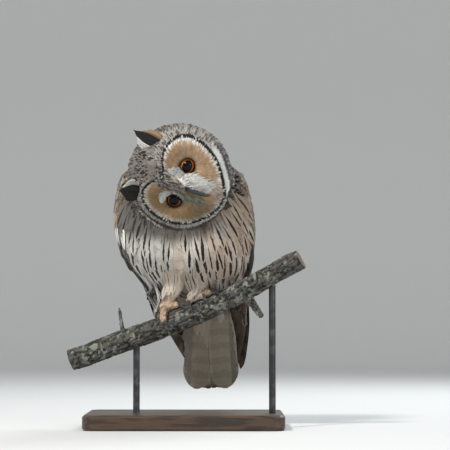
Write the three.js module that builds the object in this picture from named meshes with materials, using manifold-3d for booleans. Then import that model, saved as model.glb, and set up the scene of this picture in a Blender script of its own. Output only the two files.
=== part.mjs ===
// A long-eared owl (Asio otus), life size, gripping a cut length of branch on a plain display stand.
// Millimetres, +Z up. The owl faces -Y. The origin is the middle of the base's flat underside.
import * as THREE from 'three';
import { mergeVertices } from 'three/addons/utils/BufferGeometryUtils.js';
import Module from 'manifold-3d';

const wasm = await Module();
wasm.setup();

const FULL_TURN = 2 * Math.PI;
const ALONG_X = new THREE.Vector3(1, 0, 0);
const GAP = 0.3;
const WELD = 1e-4;

// The head: its middle, how far the face is tipped down, the crown rolled to -X and the face turned.
const HEAD_CENTRE = new THREE.Vector3(-4.5, -36, 298);
const HEAD_TIP_DOWN = THREE.MathUtils.degToRad(16);
const HEAD_ROLL = THREE.MathUtils.degToRad(-69);
const HEAD_TURN = THREE.MathUtils.degToRad(-2);
const HEAD_HALF_WIDTH = 63;
const HEAD_CROWN_HEIGHT = 63;
const HEAD_CHIN_DEPTH = 60;
const HEAD_FRONT_DEPTH = 44;
const HEAD_BACK_DEPTH = 52;
const FACE_FLATNESS = 0.72;

// The face, measured on the head: across, up and forward of the head's middle.
const EYE_SIDE = 20;
const EYE_UP = -1.5;
const EYE_FORWARD = 24.5;
const EYE_RADIUS = 11;
const CORNEA_BULGE = 1.4;
const CORNEA_SPREAD = 0.62;
const EYE_TURN_OUT = THREE.MathUtils.degToRad(9);
const SOCKET_SIDE = 22;
const SOCKET_WIDTH = 15;
const SOCKET_DEPTH = 9;
const BROW_RIDGE_WIDTH = 7;
const BROW_RIDGE_HEIGHT = 4.5;
const BROW_RIDGE_LENGTH = 30;
const DISC_HALF_WIDTH = 51;
const DISC_HALF_HEIGHT = 45;
const DISC_MIDDLE_UP = -10;
const DISC_RIM_HEIGHT = 2.6;
const DISC_RIM_WIDTH = 0.13;

const UPPER_BILL_LINE = [
  new THREE.Vector3(0, -38, -8),
  new THREE.Vector3(0, -45.5, -16),
  new THREE.Vector3(0, -48.5, -26),
  new THREE.Vector3(0, -45.5, -37.5),
];
const LOWER_BILL_LINE = [
  new THREE.Vector3(0, -37, -17),
  new THREE.Vector3(0, -41.5, -25),
  new THREE.Vector3(0, -42.5, -32),
];

// The body's outline, level by level: its two sides, its front and its back, wings included.
const BODY_LEVELS = [
  { z: 345, left: -30, right: 22, front: -14, back: 6 },
  { z: 335, left: -47, right: 40, front: -24, back: 14 },
  { z: 325, left: -58, right: 51, front: -30, back: 24 },
  { z: 312, left: -70, right: 64, front: -34, back: 37 },
  { z: 298, left: -79, right: 73, front: -37, back: 49 },
  { z: 272, left: -85, right: 80, front: -41, back: 63 },
  { z: 242, left: -85.5, right: 85, front: -48, back: 72 },
  { z: 212, left: -78, right: 84, front: -50, back: 77 },
  { z: 194, left: -70, right: 82, front: -40, back: 78 },
  { z: 184, left: -61, right: 81, front: -28, back: 77.5 },
  { z: 175, left: -54.5, right: 80, front: -12, back: 77 },
  { z: 164, left: -49, right: 78.5, front: 3, back: 76.5 },
  { z: 150, left: -44, right: 78, front: 16, back: 76 },
  { z: 137, left: -40, right: 78, front: 30, back: 77 },
  { z: 118, left: -20, right: 77, front: 46, back: 81 },
  { z: 90, left: 2, right: 73, front: 62, back: 87 },
  { z: 66, left: 14, right: 67, front: 72, back: 92 },
];
const BODY_TOP = 345;
const BELLY_BOTTOM = 147;
const BODY_SQUARENESS = 2.25;
const SHOULDER_ROUNDING = 0.12;
const BELLY_ROUNDING = 0.3;
const WING_THICKNESS = 6.5;

// The cut between neck and trunk: its place on the axis and how far it drops to the front.
const NECK_CUT_HEIGHT = 270;
const NECK_CUT_Y = 10;
const CUTTER_SIZE = 400;
const NECK_CUT_SLOPE = THREE.MathUtils.degToRad(14);

// The folded wings, from the shoulder down to the tip.
const WING_TOP = 317;
const WING_TIP = 67;
const WING_BED = 0.9;
const WING_EDGE = 0.8;
const WING_FRONT_SHIFT = { left: 7, right: -1 };
const WING_LEVELS = [
  { z: 317, front: 8, back: 34, thick: 3 },
  { z: 306, front: -26, back: 62, thick: 5.4 },
  { z: 288, front: -38, back: 74, thick: 6 },
  { z: 250, front: -37, back: 82, thick: 6 },
  { z: 212, front: -31, back: 82, thick: 5.6 },
  { z: 182, front: -25, back: 78, thick: 5 },
  { z: 150, front: -18, back: 70, thick: 4.4 },
  { z: 118, front: -12, back: 56, thick: 3.6 },
  { z: 90, front: -6, back: 42, thick: 3 },
  { z: 67, front: 4, back: 20, thick: 2 },
];

// The closed tail, from the rump down to its square end.
const TAIL_TOP = 192;
const TAIL_BOTTOM = 43;
const TAIL_LEVELS = [
  { z: 192, left: -2, right: 42, y: 54, thick: 12 },
  { z: 160, left: -5, right: 49, y: 57, thick: 8 },
  { z: 125, left: -4.5, right: 57, y: 63, thick: 5 },
  { z: 90, left: -4.5, right: 62.5, y: 69, thick: 3.2 },
  { z: 60, left: -3.5, right: 65.5, y: 74, thick: 2.4 },
  { z: 43, left: -2.5, right: 66, y: 76, thick: 2 },
];
const TAIL_END_ROUNDING = 0.09;
const TAIL_CURVE_DEPTH = 6;
const TAIL_SQUARENESS = 2.6;

// The perch: a cut length of branch that rises to +X, by its axis and radius.
const PERCH_LEVELS = [
  { x: -138, y: 11, z: 80, radius: 13.4 },
  { x: -86, y: 8, z: 98, radius: 13.6 },
  { x: -27, y: 1, z: 120, radius: 13.6 },
  { x: 25, y: -5, z: 140, radius: 13.4 },
  { x: 53, y: -10, z: 155, radius: 13 },
  { x: 84, y: -17, z: 171, radius: 12.8 },
  { x: 138, y: -28, z: 200, radius: 12.6 },
];
const PERCH_LEFT = -138;
const PERCH_RIGHT = 138;
const KNOT_X = -6;
const KNOT_ANGLE = THREE.MathUtils.degToRad(62);
const KNOT_HEIGHT = 5;
const KNOT_LENGTH = 9;
const KNOT_SPREAD = 0.5;

// The side twigs: their lines out of the branch, and the radius of each at its root and its end.
const UPRIGHT_TWIG = {
  line: [new THREE.Vector3(-74, 6, 104), new THREE.Vector3(-76, 2, 125), new THREE.Vector3(-79, 0, 145)],
  root: 3.2,
  end: 2.2,
};
const BROKEN_TWIG = {
  line: [new THREE.Vector3(72, -13, 160), new THREE.Vector3(84, -16, 143), new THREE.Vector3(93, -17, 130)],
  root: 6,
  end: 3.8,
};

// The legs: where each leaves the belly, and the place on the perch where its foot sits.
const LEG_LEFT_TOP = new THREE.Vector3(28, 6, 206);
const LEG_RIGHT_TOP = new THREE.Vector3(-1, 4, 198);
const FOOT_LEFT_X = 21;
const FOOT_RIGHT_X = -16;
const LEG_TOP_RADIUS = 15;
const LEG_FOOT_RADIUS = 7.2;
const FOOT_RADIUS = 8;
const TOE_ROOT_RADIUS = 5.2;
const TOE_TIP_RADIUS = 4.1;
const CLAW_ROOT_RADIUS = 2.4;
const CLAW_TIP_RADIUS = 0.45;

// Each toe runs along the perch to x and round it to an angle from the top, + to the front.
const TOES_LEFT = [
  { name: 'inner', x: 12, angle: 30, clawX: 12.5, clawAngle: 84 },
  { name: 'middle', x: 31, angle: 30, clawX: 33, clawAngle: 86 },
  { name: 'outer', x: 41, angle: 12, clawX: 48, clawAngle: 62 },
  { name: 'rear', x: 17, angle: -72, clawX: 14, clawAngle: -128 },
];
const TOES_RIGHT = [
  { name: 'inner', x: 0, angle: 18, clawX: 5, clawAngle: 58 },
  { name: 'middle', x: -21, angle: 80, clawX: -11, clawAngle: 130 },
  { name: 'outer', x: -28, angle: -52, clawX: -31, clawAngle: -104 },
  { name: 'rear', x: -10, angle: -74, clawX: -7, clawAngle: -130 },
];

// The stand: a flat base and two round rods.
const BASE_LENGTH = 236;
const BASE_DEPTH = 150;
const BASE_HEIGHT = 18;
const BASE_CORNER = 14;
const BASE_BEVEL = 2.5;
const ROD_RADIUS = 4;
const ROD_LEFT_X = -58;
const ROD_RIGHT_X = 104;
const ROD_SIDES = 24;

const COLOURS = {
  headGrey: 0x9b9186,
  breastBuff: 0xb3a08c,
  wingBrown: 0x6b5c4d,
  tailGrey: 0x9c9183,
  legBuff: 0xc6a384,
  tuftDark: 0x2b2522,
  eyeOrange: 0xc8641c,
  billDark: 0x2e3134,
  clawDark: 0x26282c,
  bark: 0x4a4a46,
  standWood: 0x3b2b20,
  standSteel: 0x54575a,
};

// A smooth reading of rows between their own values of one key.
function smoothRows(rows, key) {
  const ordered = [...rows].sort((a, b) => a[key] - b[key]);
  const last = ordered.length - 1;
  const slope = (i, name) => {
    const before = ordered[Math.max(i - 1, 0)];
    const after = ordered[Math.min(i + 1, last)];
    return (after[name] - before[name]) / (after[key] - before[key]);
  };
  return (value) => {
    const at = THREE.MathUtils.clamp(value, ordered[0][key], ordered[last][key]);
    let i = 0;
    while (i < last - 1 && at > ordered[i + 1][key]) i += 1;
    const low = ordered[i];
    const high = ordered[i + 1];
    const span = high[key] - low[key];
    const t = (at - low[key]) / span;
    const result = { [key]: at };
    for (const name of Object.keys(low)) {
      if (name === key) continue;
      const rise = (high[name] - low[name]) * t * t * (3 - 2 * t);
      const leave = slope(i, name) * span * t * (1 - t) ** 2;
      const arrive = slope(i + 1, name) * span * t * t * (1 - t);
      result[name] = low[name] + rise + leave - arrive;
    }
    return result;
  };
}

const bodyAt = smoothRows(BODY_LEVELS, 'z');
const wingAt = smoothRows(WING_LEVELS, 'z');
const tailAt = smoothRows(TAIL_LEVELS, 'z');
const perchAt = smoothRows(PERCH_LEVELS, 'x');

function bell(x, width) {
  return Math.exp(-((x / width) ** 2));
}

// 0 at both ends, 1 between, with ends rounded over the given share of the length.
function roundEnds(s, startShare, endShare) {
  const fromStart = Math.min(1, s / startShare);
  const fromEnd = Math.min(1, (1 - s) / endShare);
  return Math.sqrt(1 - (1 - fromStart) ** 2) * Math.sqrt(1 - (1 - fromEnd) ** 2);
}

function ovalPoint(angle, halfWidth, halfDepth, squareness) {
  const power = 2 / squareness;
  const c = Math.cos(angle);
  const s = Math.sin(angle);
  return [
    halfWidth * Math.sign(c) * Math.abs(c) ** power,
    halfDepth * Math.sign(s) * Math.abs(s) ** power,
  ];
}

// A closed body on a sphere's grid: surface(s, t) is the point at s along it and t around it, and
// every t gives one point where s is 0 or 1.
function closedBody(along, around, surface) {
  const geometry = new THREE.SphereGeometry(1, around, along);
  const { position, uv } = geometry.attributes;
  for (let i = 0; i < position.count; i += 1) {
    const s = THREE.MathUtils.clamp(1 - uv.getY(i), 0, 1);
    const t = s === 0 || s === 1 ? 0 : uv.getX(i) % 1;
    const point = surface(s, t);
    position.setXYZ(i, point.x, point.y, point.z);
  }
  return faceOut(geometry);
}

function faceOut(geometry) {
  geometry.deleteAttribute('normal');
  geometry.deleteAttribute('uv');
  const closed = mergeVertices(geometry, WELD);
  const { position } = closed.attributes;
  const { index } = closed;
  const a = new THREE.Vector3();
  const b = new THREE.Vector3();
  const c = new THREE.Vector3();
  let volume = 0;
  for (let i = 0; i < index.count; i += 3) {
    a.fromBufferAttribute(position, index.getX(i));
    b.fromBufferAttribute(position, index.getX(i + 1));
    c.fromBufferAttribute(position, index.getX(i + 2));
    volume += a.dot(b.cross(c));
  }
  if (volume < 0) {
    for (let i = 0; i < index.count; i += 3) {
      const first = index.getX(i);
      index.setX(i, index.getX(i + 1));
      index.setX(i + 1, first);
    }
  }
  return closed;
}

function solidOf(geometry) {
  return new wasm.Manifold(
    new wasm.Mesh({
      numProp: 3,
      vertProperties: new Float32Array(geometry.attributes.position.array),
      triVerts: new Uint32Array(geometry.index.array),
    }),
  );
}

// The largest single piece of a solid, as a three.js geometry.
function geometryOf(solid) {
  const pieces = solid.decompose();
  pieces.sort((a, b) => b.volume() - a.volume());
  const mesh = pieces[0].getMesh();
  const geometry = new THREE.BufferGeometry();
  geometry.setAttribute('position', new THREE.BufferAttribute(mesh.vertProperties, 3));
  geometry.setIndex(new THREE.BufferAttribute(mesh.triVerts, 1));
  return geometry;
}

function carved(geometry, ...cutters) {
  let solid = solidOf(geometry);
  for (const cutter of cutters) solid = solid.subtract(solidOf(cutter));
  return geometryOf(solid);
}

function joined(...geometries) {
  let solid = solidOf(geometries[0]);
  for (const geometry of geometries.slice(1)) solid = solid.add(solidOf(geometry));
  return geometryOf(solid);
}

// A round-ended limb along a curve. halfSizes(share) gives its half width, measured along the wide
// direction, and its half depth across that.
function limb(points, along, around, halfSizes, wide, endShares = [0.1, 0.1]) {
  const curve = new THREE.CatmullRomCurve3(points);
  return closedBody(along, around, (s, t) => {
    const share = (1 - Math.cos(Math.PI * s)) / 2;
    const heading = curve.getTangentAt(share);
    const aside = wide.clone().addScaledVector(heading, -wide.dot(heading)).normalize();
    const outward = new THREE.Vector3().crossVectors(heading, aside);
    const [halfWidth, halfDepth] = halfSizes(share);
    const round = roundEnds(share, ...endShares);
    return curve
      .getPointAt(share)
      .addScaledVector(aside, halfWidth * round * Math.cos(FULL_TURN * t))
      .addScaledVector(outward, halfDepth * round * Math.sin(FULL_TURN * t));
  });
}

// A point on the body at height z and an angle from +X towards the back, raised by lift.
function bodyPoint(z, angle, lift) {
  const level = bodyAt(z);
  const halfWidth = (level.right - level.left) / 2 - WING_THICKNESS + lift;
  const halfDepth = (level.back - level.front) / 2 - WING_THICKNESS / 2 + lift;
  const middleY = (level.back + level.front) / 2 - WING_THICKNESS / 2;
  const [x, y] = ovalPoint(angle, halfWidth, halfDepth, BODY_SQUARENESS);
  return new THREE.Vector3((level.left + level.right) / 2 + x, middleY + y, z);
}

function torsoGeometry(extra) {
  const top = BODY_TOP + extra;
  const bottom = BELLY_BOTTOM - extra;
  return closedBody(20, 22, (s, t) => {
    const z = THREE.MathUtils.lerp(top, bottom, (1 - Math.cos(Math.PI * s)) / 2);
    const rim = bodyPoint(z, FULL_TURN * t, extra);
    const level = bodyAt(z);
    const round = roundEnds(s, SHOULDER_ROUNDING, BELLY_ROUNDING);
    rim.x = THREE.MathUtils.lerp((level.left + level.right) / 2, rim.x, round);
    rim.y = THREE.MathUtils.lerp((level.front + level.back) / 2, rim.y, round);
    return rim;
  });
}

// A half space above or below the neck cut, as one large box.
function neckSide(above) {
  const box = new THREE.BoxGeometry(CUTTER_SIZE, CUTTER_SIZE, CUTTER_SIZE);
  const shift = (CUTTER_SIZE / 2 - GAP / 2) * (above ? 1 : -1);
  box.translate(0, 0, shift);
  box.rotateX(NECK_CUT_SLOPE);
  box.translate(0, NECK_CUT_Y, NECK_CUT_HEIGHT);
  return faceOut(box);
}

// The head's own surface: alpha is the angle from straight ahead and beta the angle round it.
function headPoint(alpha, beta, extra) {
  const across = Math.sin(alpha) * Math.cos(beta);
  const up = Math.sin(alpha) * Math.sin(beta);
  const ahead = Math.cos(alpha);
  const halfHeight = up > 0 ? HEAD_CROWN_HEIGHT : HEAD_CHIN_DEPTH;
  const depth = ahead > 0 ? HEAD_FRONT_DEPTH : HEAD_BACK_DEPTH;
  const x = across * HEAD_HALF_WIDTH;
  const z = up * halfHeight;
  let forward = ahead > 0 ? depth * ahead ** FACE_FLATNESS : ahead * depth;
  if (ahead > 0) {
    const reach = Math.hypot(x / DISC_HALF_WIDTH, (z - DISC_MIDDLE_UP) / DISC_HALF_HEIGHT);
    const socket = bell(Math.abs(x) - SOCKET_SIDE, SOCKET_WIDTH) * bell(z - EYE_UP, SOCKET_WIDTH);
    const ridge = bell(x, BROW_RIDGE_WIDTH) * bell(z, BROW_RIDGE_LENGTH);
    forward += DISC_RIM_HEIGHT * bell(reach - 1, DISC_RIM_WIDTH);
    forward -= SOCKET_DEPTH * socket * (1 - bell(x, BROW_RIDGE_WIDTH));
    forward += BROW_RIDGE_HEIGHT * ridge;
  }
  const point = new THREE.Vector3(x, -forward, z);
  return point.addScaledVector(point.clone().normalize(), extra);
}

function headBlank(extra) {
  return closedBody(20, 26, (s, t) => {
    const alpha = Math.PI * s ** 1.2;
    return headPoint(alpha, FULL_TURN * t, extra);
  });
}

function eyeGeometry(side, extra) {
  const turn = side * EYE_TURN_OUT;
  const gaze = new THREE.Vector3(Math.sin(turn), -Math.cos(turn), 0);
  const upward = new THREE.Vector3(0, 0, 1);
  const sideways = new THREE.Vector3().crossVectors(gaze, upward);
  const centre = new THREE.Vector3(side * EYE_SIDE, -EYE_FORWARD, EYE_UP);
  return closedBody(10, 14, (s, t) => {
    const alpha = Math.PI * s;
    const radius = EYE_RADIUS + CORNEA_BULGE * bell(alpha, CORNEA_SPREAD) + extra;
    return centre
      .clone()
      .addScaledVector(gaze, radius * Math.cos(alpha))
      .addScaledVector(sideways, radius * Math.sin(alpha) * Math.cos(FULL_TURN * t))
      .addScaledVector(upward, radius * Math.sin(alpha) * Math.sin(FULL_TURN * t));
  });
}

// The upper half of the bill: from under the brow ridge, arched over, to its hooked tip.
function upperBill(extra) {
  return limb(UPPER_BILL_LINE, 9, 10, (share) => [
    THREE.MathUtils.lerp(5.2, 1.0, share ** 1.3) + extra,
    THREE.MathUtils.lerp(4.6, 1.0, share ** 1.2) + extra,
  ], ALONG_X);
}

function lowerBill(extra) {
  return limb(LOWER_BILL_LINE, 6, 8, (share) => [
    THREE.MathUtils.lerp(4.4, 1.4, share) + extra,
    THREE.MathUtils.lerp(3.2, 1.1, share) + extra,
  ], ALONG_X);
}

// An ear tuft: a flat, pointed plume that stands up from the brow.
function tuftGeometry(root, middle, tip, extra) {
  return limb([root, middle, tip], 8, 10, (share) => [
    THREE.MathUtils.lerp(8.6, 3, share ** 1.4) + extra,
    THREE.MathUtils.lerp(4.6, 1.2, share) + extra,
  ], ALONG_X);
}

const TUFTS = {
  left: [
    new THREE.Vector3(30, -21, 34),
    new THREE.Vector3(33, -23, 54),
    new THREE.Vector3(37, -20, 73),
  ],
  right: [
    new THREE.Vector3(-25, -22, 38),
    new THREE.Vector3(-29, -33, 54),
    new THREE.Vector3(-32, -41, 66),
  ],
};

function wingGeometry(side, extra) {
  return closedBody(18, 16, (s, t) => {
    const z = THREE.MathUtils.lerp(WING_TOP, WING_TIP, s);
    const level = wingAt(z);
    const front = level.front + WING_FRONT_SHIFT[side.name];
    const middle = (front + level.back) / 2;
    const spread = ((level.back - front) / 2) * roundEnds(s, 0.12, 0.1);
    const outside = t < 0.5;
    const across = outside ? 4 * t - 1 : 3 - 4 * t;
    const degrees = middle + spread * across;
    const angle = THREE.MathUtils.degToRad(side.sign > 0 ? degrees : 180 - degrees);
    const body = Math.sqrt(Math.max(0, 1 - across ** 4));
    const pinch = s === 0 || s === 1 ? 0 : 1;
    const thickness = (WING_EDGE + (level.thick - WING_EDGE) * body) * pinch;
    const lift = outside ? WING_BED + thickness + extra : WING_BED - extra * pinch;
    return bodyPoint(z, angle, lift);
  });
}

function tailGeometry(extra) {
  return closedBody(16, 14, (s, t) => {
    const share = (1 - Math.cos(Math.PI * s)) / 2;
    const z = THREE.MathUtils.lerp(TAIL_TOP + extra, TAIL_BOTTOM - extra, share);
    const level = tailAt(z);
    const round = roundEnds(share, 0.1, TAIL_END_ROUNDING);
    const halfWidth = (level.right - level.left) / 2 + extra;
    const [across, through] = ovalPoint(FULL_TURN * t, 1, 1, TAIL_SQUARENESS);
    const flat = s === 0 || s === 1 ? 0 : 1;
    const x = (level.left + level.right) / 2 + across * halfWidth * round;
    const thick = (level.thick / 2 + extra) * Math.max(round, 0.35) * flat;
    const y = level.y + through * thick - TAIL_CURVE_DEPTH * (across * round) ** 2;
    return new THREE.Vector3(x, y, z);
  });
}

// The perch's own directions at x: along it, out of its top and out of its front.
function perchFrame(x) {
  const step = 1;
  const at = perchAt(x);
  const before = perchAt(x - step);
  const after = perchAt(x + step);
  const centre = new THREE.Vector3(at.x, at.y, at.z);
  const along = new THREE.Vector3(after.x - before.x, after.y - before.y, after.z - before.z);
  along.normalize();
  const top = new THREE.Vector3(0, 0, 1).addScaledVector(along, -along.z).normalize();
  const front = new THREE.Vector3().crossVectors(along, top);
  return { centre, along, top, front, radius: at.radius };
}

function perchRadius(x, angle) {
  const away = Math.atan2(Math.sin(angle - KNOT_ANGLE), Math.cos(angle - KNOT_ANGLE));
  const knot = KNOT_HEIGHT * bell(x - KNOT_X, KNOT_LENGTH) * bell(away, KNOT_SPREAD);
  const ribs = 0.5 * Math.sin(3 * angle + x / 15) + 0.4 * Math.sin(5 * angle - x / 11);
  return perchAt(x).radius + knot + ribs;
}

function onPerch(x, angle, height) {
  const { centre, top, front } = perchFrame(x);
  const reach = perchRadius(x, angle) + height;
  return centre
    .addScaledVector(top, reach * Math.cos(angle))
    .addScaledVector(front, reach * Math.sin(angle));
}

function branchGeometry(extra) {
  const rings = 26;
  return closedBody(rings, 12, (s, t) => {
    const ring = THREE.MathUtils.clamp((Math.round(s * rings) - 1) / (rings - 2), 0, 1);
    const x = THREE.MathUtils.lerp(PERCH_LEFT, PERCH_RIGHT, ring);
    const { centre, along } = perchFrame(x);
    if (s === 0 || s === 1) return centre.addScaledVector(along, s === 0 ? -extra : extra);
    return onPerch(x, -FULL_TURN * t, extra);
  });
}

// A side twig on the perch: round, from inside the branch to a blunt end.
function twigGeometry({ line, root, end }) {
  return limb(line, 6, 8, (share) => {
    const radius = THREE.MathUtils.lerp(root, end, share);
    return [radius, radius];
  }, ALONG_X, [0.05, 0.05]);
}

function perchGeometry() {
  return joined(branchGeometry(0), twigGeometry(UPRIGHT_TWIG), twigGeometry(BROKEN_TWIG));
}

function legGeometry(top, footX, extra) {
  const foot = onPerch(footX, 0, FOOT_RADIUS);
  const knee = new THREE.Vector3().lerpVectors(top, foot, 0.5);
  knee.y -= 4;
  return limb([top, knee, foot], 7, 12, (share) => {
    const taper = Math.min(1, share * 1.25);
    const radius = THREE.MathUtils.lerp(LEG_TOP_RADIUS, LEG_FOOT_RADIUS, taper) + extra;
    return [radius, radius];
  }, ALONG_X);
}

function degreesOnPerch(x, degrees, height) {
  return onPerch(x, THREE.MathUtils.degToRad(degrees), height);
}

function toeGeometry(footX, toe, extra) {
  const steps = [0, 0.35, 0.7, 1];
  const points = steps.map((step) => {
    const x = THREE.MathUtils.lerp(footX, toe.x, Math.min(1, step * 1.2));
    const height = THREE.MathUtils.lerp(TOE_ROOT_RADIUS + 1.6, TOE_TIP_RADIUS + 0.4, step);
    return degreesOnPerch(x, toe.angle * step, height);
  });
  return limb(points, 7, 8, (share) => {
    const radius = THREE.MathUtils.lerp(TOE_ROOT_RADIUS, TOE_TIP_RADIUS, share) + extra;
    return [radius, radius];
  }, ALONG_X, [0.2, 0.24]);
}

function footGeometry(footX, toes, extra) {
  const heel = new THREE.SphereGeometry(FOOT_RADIUS + extra, 10, 7);
  const seat = onPerch(footX, 0, FOOT_RADIUS - 0.6);
  heel.translate(seat.x, seat.y, seat.z);
  return joined(faceOut(heel), ...toes.map((toe) => toeGeometry(footX, toe, extra)));
}

// A claw: a tapering hook that starts in the toe's end and curls down onto the bark.
function clawGeometry(toe, extra) {
  const steps = [-0.14, 0.25, 0.65, 1];
  const points = steps.map((step) => {
    const x = THREE.MathUtils.lerp(toe.x, toe.clawX, Math.max(step, 0));
    const angle = THREE.MathUtils.lerp(toe.angle, toe.clawAngle, step);
    const arch = 1.6 * Math.sin(Math.PI * Math.max(step, 0));
    const height = THREE.MathUtils.lerp(TOE_TIP_RADIUS + 1.4, 0.9, Math.max(step, 0)) + arch;
    return degreesOnPerch(x, angle, height);
  });
  return limb(points, 7, 6, (share) => {
    const radius = THREE.MathUtils.lerp(CLAW_ROOT_RADIUS, CLAW_TIP_RADIUS, share) + extra;
    return [radius, radius];
  }, ALONG_X, [0.08, 0.06]);
}

function baseGeometry() {
  const halfLength = BASE_LENGTH / 2 - BASE_BEVEL;
  const halfDepth = BASE_DEPTH / 2 - BASE_BEVEL;
  const inner = BASE_CORNER - BASE_BEVEL;
  const outline = new THREE.Shape();
  outline.moveTo(halfLength - inner, -halfDepth);
  outline.absarc(halfLength - inner, inner - halfDepth, inner, -Math.PI / 2, 0);
  outline.absarc(halfLength - inner, halfDepth - inner, inner, 0, Math.PI / 2);
  outline.absarc(inner - halfLength, halfDepth - inner, inner, Math.PI / 2, Math.PI);
  outline.absarc(inner - halfLength, inner - halfDepth, inner, Math.PI, 1.5 * Math.PI);
  const slab = new THREE.ExtrudeGeometry(outline, {
    depth: BASE_HEIGHT - 2 * BASE_BEVEL,
    bevelThickness: BASE_BEVEL,
    bevelSize: BASE_BEVEL,
    bevelSegments: 1,
    curveSegments: 4,
  });
  slab.translate(0, 0, BASE_BEVEL);
  return faceOut(slab);
}

// A rod stands on the base with a gap's clearance and rises into a shallow seat cut by the perch.
function rodGeometry(x) {
  const { centre } = perchFrame(x);
  const height = centre.z - BASE_HEIGHT - GAP;
  const rod = new THREE.CylinderGeometry(ROD_RADIUS, ROD_RADIUS, height, ROD_SIDES);
  rod.rotateX(Math.PI / 2);
  rod.translate(centre.x, centre.y, BASE_HEIGHT + GAP + height / 2);
  return carved(faceOut(rod), branchGeometry(GAP));
}

function named(name, geometry, colour, roughness, metalness = 0) {
  const flat = geometry.index ? geometry.toNonIndexed() : geometry;
  flat.computeVertexNormals();
  const material = new THREE.MeshStandardMaterial({ color: colour, roughness, metalness });
  const mesh = new THREE.Mesh(flat, material);
  mesh.name = name;
  return mesh;
}

const sides = [
  { name: 'left', sign: 1, legTop: LEG_LEFT_TOP, footX: FOOT_LEFT_X, toes: TOES_LEFT },
  { name: 'right', sign: -1, legTop: LEG_RIGHT_TOP, footX: FOOT_RIGHT_X, toes: TOES_RIGHT },
];

const owl = new THREE.Group();

// The head and what it carries share one group, tipped and rolled as the owl holds it.
const headGroup = new THREE.Group();
headGroup.position.copy(HEAD_CENTRE);
headGroup.rotation.set(HEAD_TIP_DOWN, HEAD_ROLL, HEAD_TURN);
headGroup.updateMatrixWorld();
owl.add(headGroup);

const headCutters = [upperBill(GAP), lowerBill(GAP)];
for (const side of sides) {
  headCutters.push(eyeGeometry(side.sign, GAP));
  headCutters.push(tuftGeometry(...TUFTS[side.name], GAP));
  headGroup.add(named(`eye_${side.name}`, eyeGeometry(side.sign, 0), COLOURS.eyeOrange, 0.08));
  const tuft = tuftGeometry(...TUFTS[side.name], 0);
  headGroup.add(named(`ear_tuft_${side.name}`, tuft, COLOURS.tuftDark, 0.9));
}
headGroup.add(named('head', carved(headBlank(0), ...headCutters), COLOURS.headGrey, 0.9));
headGroup.add(named('bill_upper', upperBill(0), COLOURS.billDark, 0.35));
const lower = carved(lowerBill(0), upperBill(GAP));
headGroup.add(named('bill_lower', lower, COLOURS.billDark, 0.4));

const headClearance = headBlank(GAP).applyMatrix4(headGroup.matrixWorld);
const tuftClearance = sides.map((side) => {
  const tuft = tuftGeometry(...TUFTS[side.name], GAP);
  return tuft.applyMatrix4(headGroup.matrixWorld);
});
const tailClearance = tailGeometry(GAP);
const branchClearance = branchGeometry(GAP);
const legClearance = sides.map((side) => legGeometry(side.legTop, side.footX, GAP));
const footClearance = sides.map((side) => footGeometry(side.footX, side.toes, GAP));

const torso = torsoGeometry(0);
const torsoClearance = torsoGeometry(GAP);
const neck = carved(torso, neckSide(false), headClearance);
owl.add(named('neck', neck, COLOURS.headGrey, 0.9));
const trunk = carved(
  torso,
  neckSide(true),
  headClearance,
  tailClearance,
  branchClearance,
  ...legClearance,
  ...footClearance,
);
owl.add(named('trunk', trunk, COLOURS.breastBuff, 0.9));
owl.add(named('tail', carved(tailGeometry(0), branchClearance), COLOURS.tailGrey, 0.85));

for (const side of sides) {
  const wing = carved(
    wingGeometry(side, 0),
    torsoClearance,
    headClearance,
    ...tuftClearance,
    tailClearance,
    branchClearance,
  );
  owl.add(named(`wing_${side.name}`, wing, COLOURS.wingBrown, 0.85));
  const claws = side.toes.map((toe) => clawGeometry(toe, GAP));
  const foot = carved(footGeometry(side.footX, side.toes, 0), branchClearance, ...claws);
  owl.add(named(`foot_${side.name}`, foot, COLOURS.legBuff, 0.9));
  const leg = carved(
    legGeometry(side.legTop, side.footX, 0),
    footGeometry(side.footX, side.toes, GAP),
    branchClearance,
  );
  owl.add(named(`leg_${side.name}`, leg, COLOURS.legBuff, 0.9));
  for (const toe of side.toes) {
    const claw = carved(clawGeometry(toe, 0), branchClearance);
    owl.add(named(`claw_${side.name}_${toe.name}`, claw, COLOURS.clawDark, 0.3));
  }
}

owl.add(named('perch', perchGeometry(), COLOURS.bark, 0.95));
owl.add(named('stand_base', baseGeometry(), COLOURS.standWood, 0.5));
owl.add(named('stand_rod_left', rodGeometry(ROD_LEFT_X), COLOURS.standSteel, 0.35, 0.9));
owl.add(named('stand_rod_right', rodGeometry(ROD_RIGHT_X), COLOURS.standSteel, 0.35, 0.9));

export default owl;
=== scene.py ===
import math

import bpy
import numpy as np
from mathutils import Matrix, Vector
from mathutils.bvhtree import BVHTree


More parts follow.
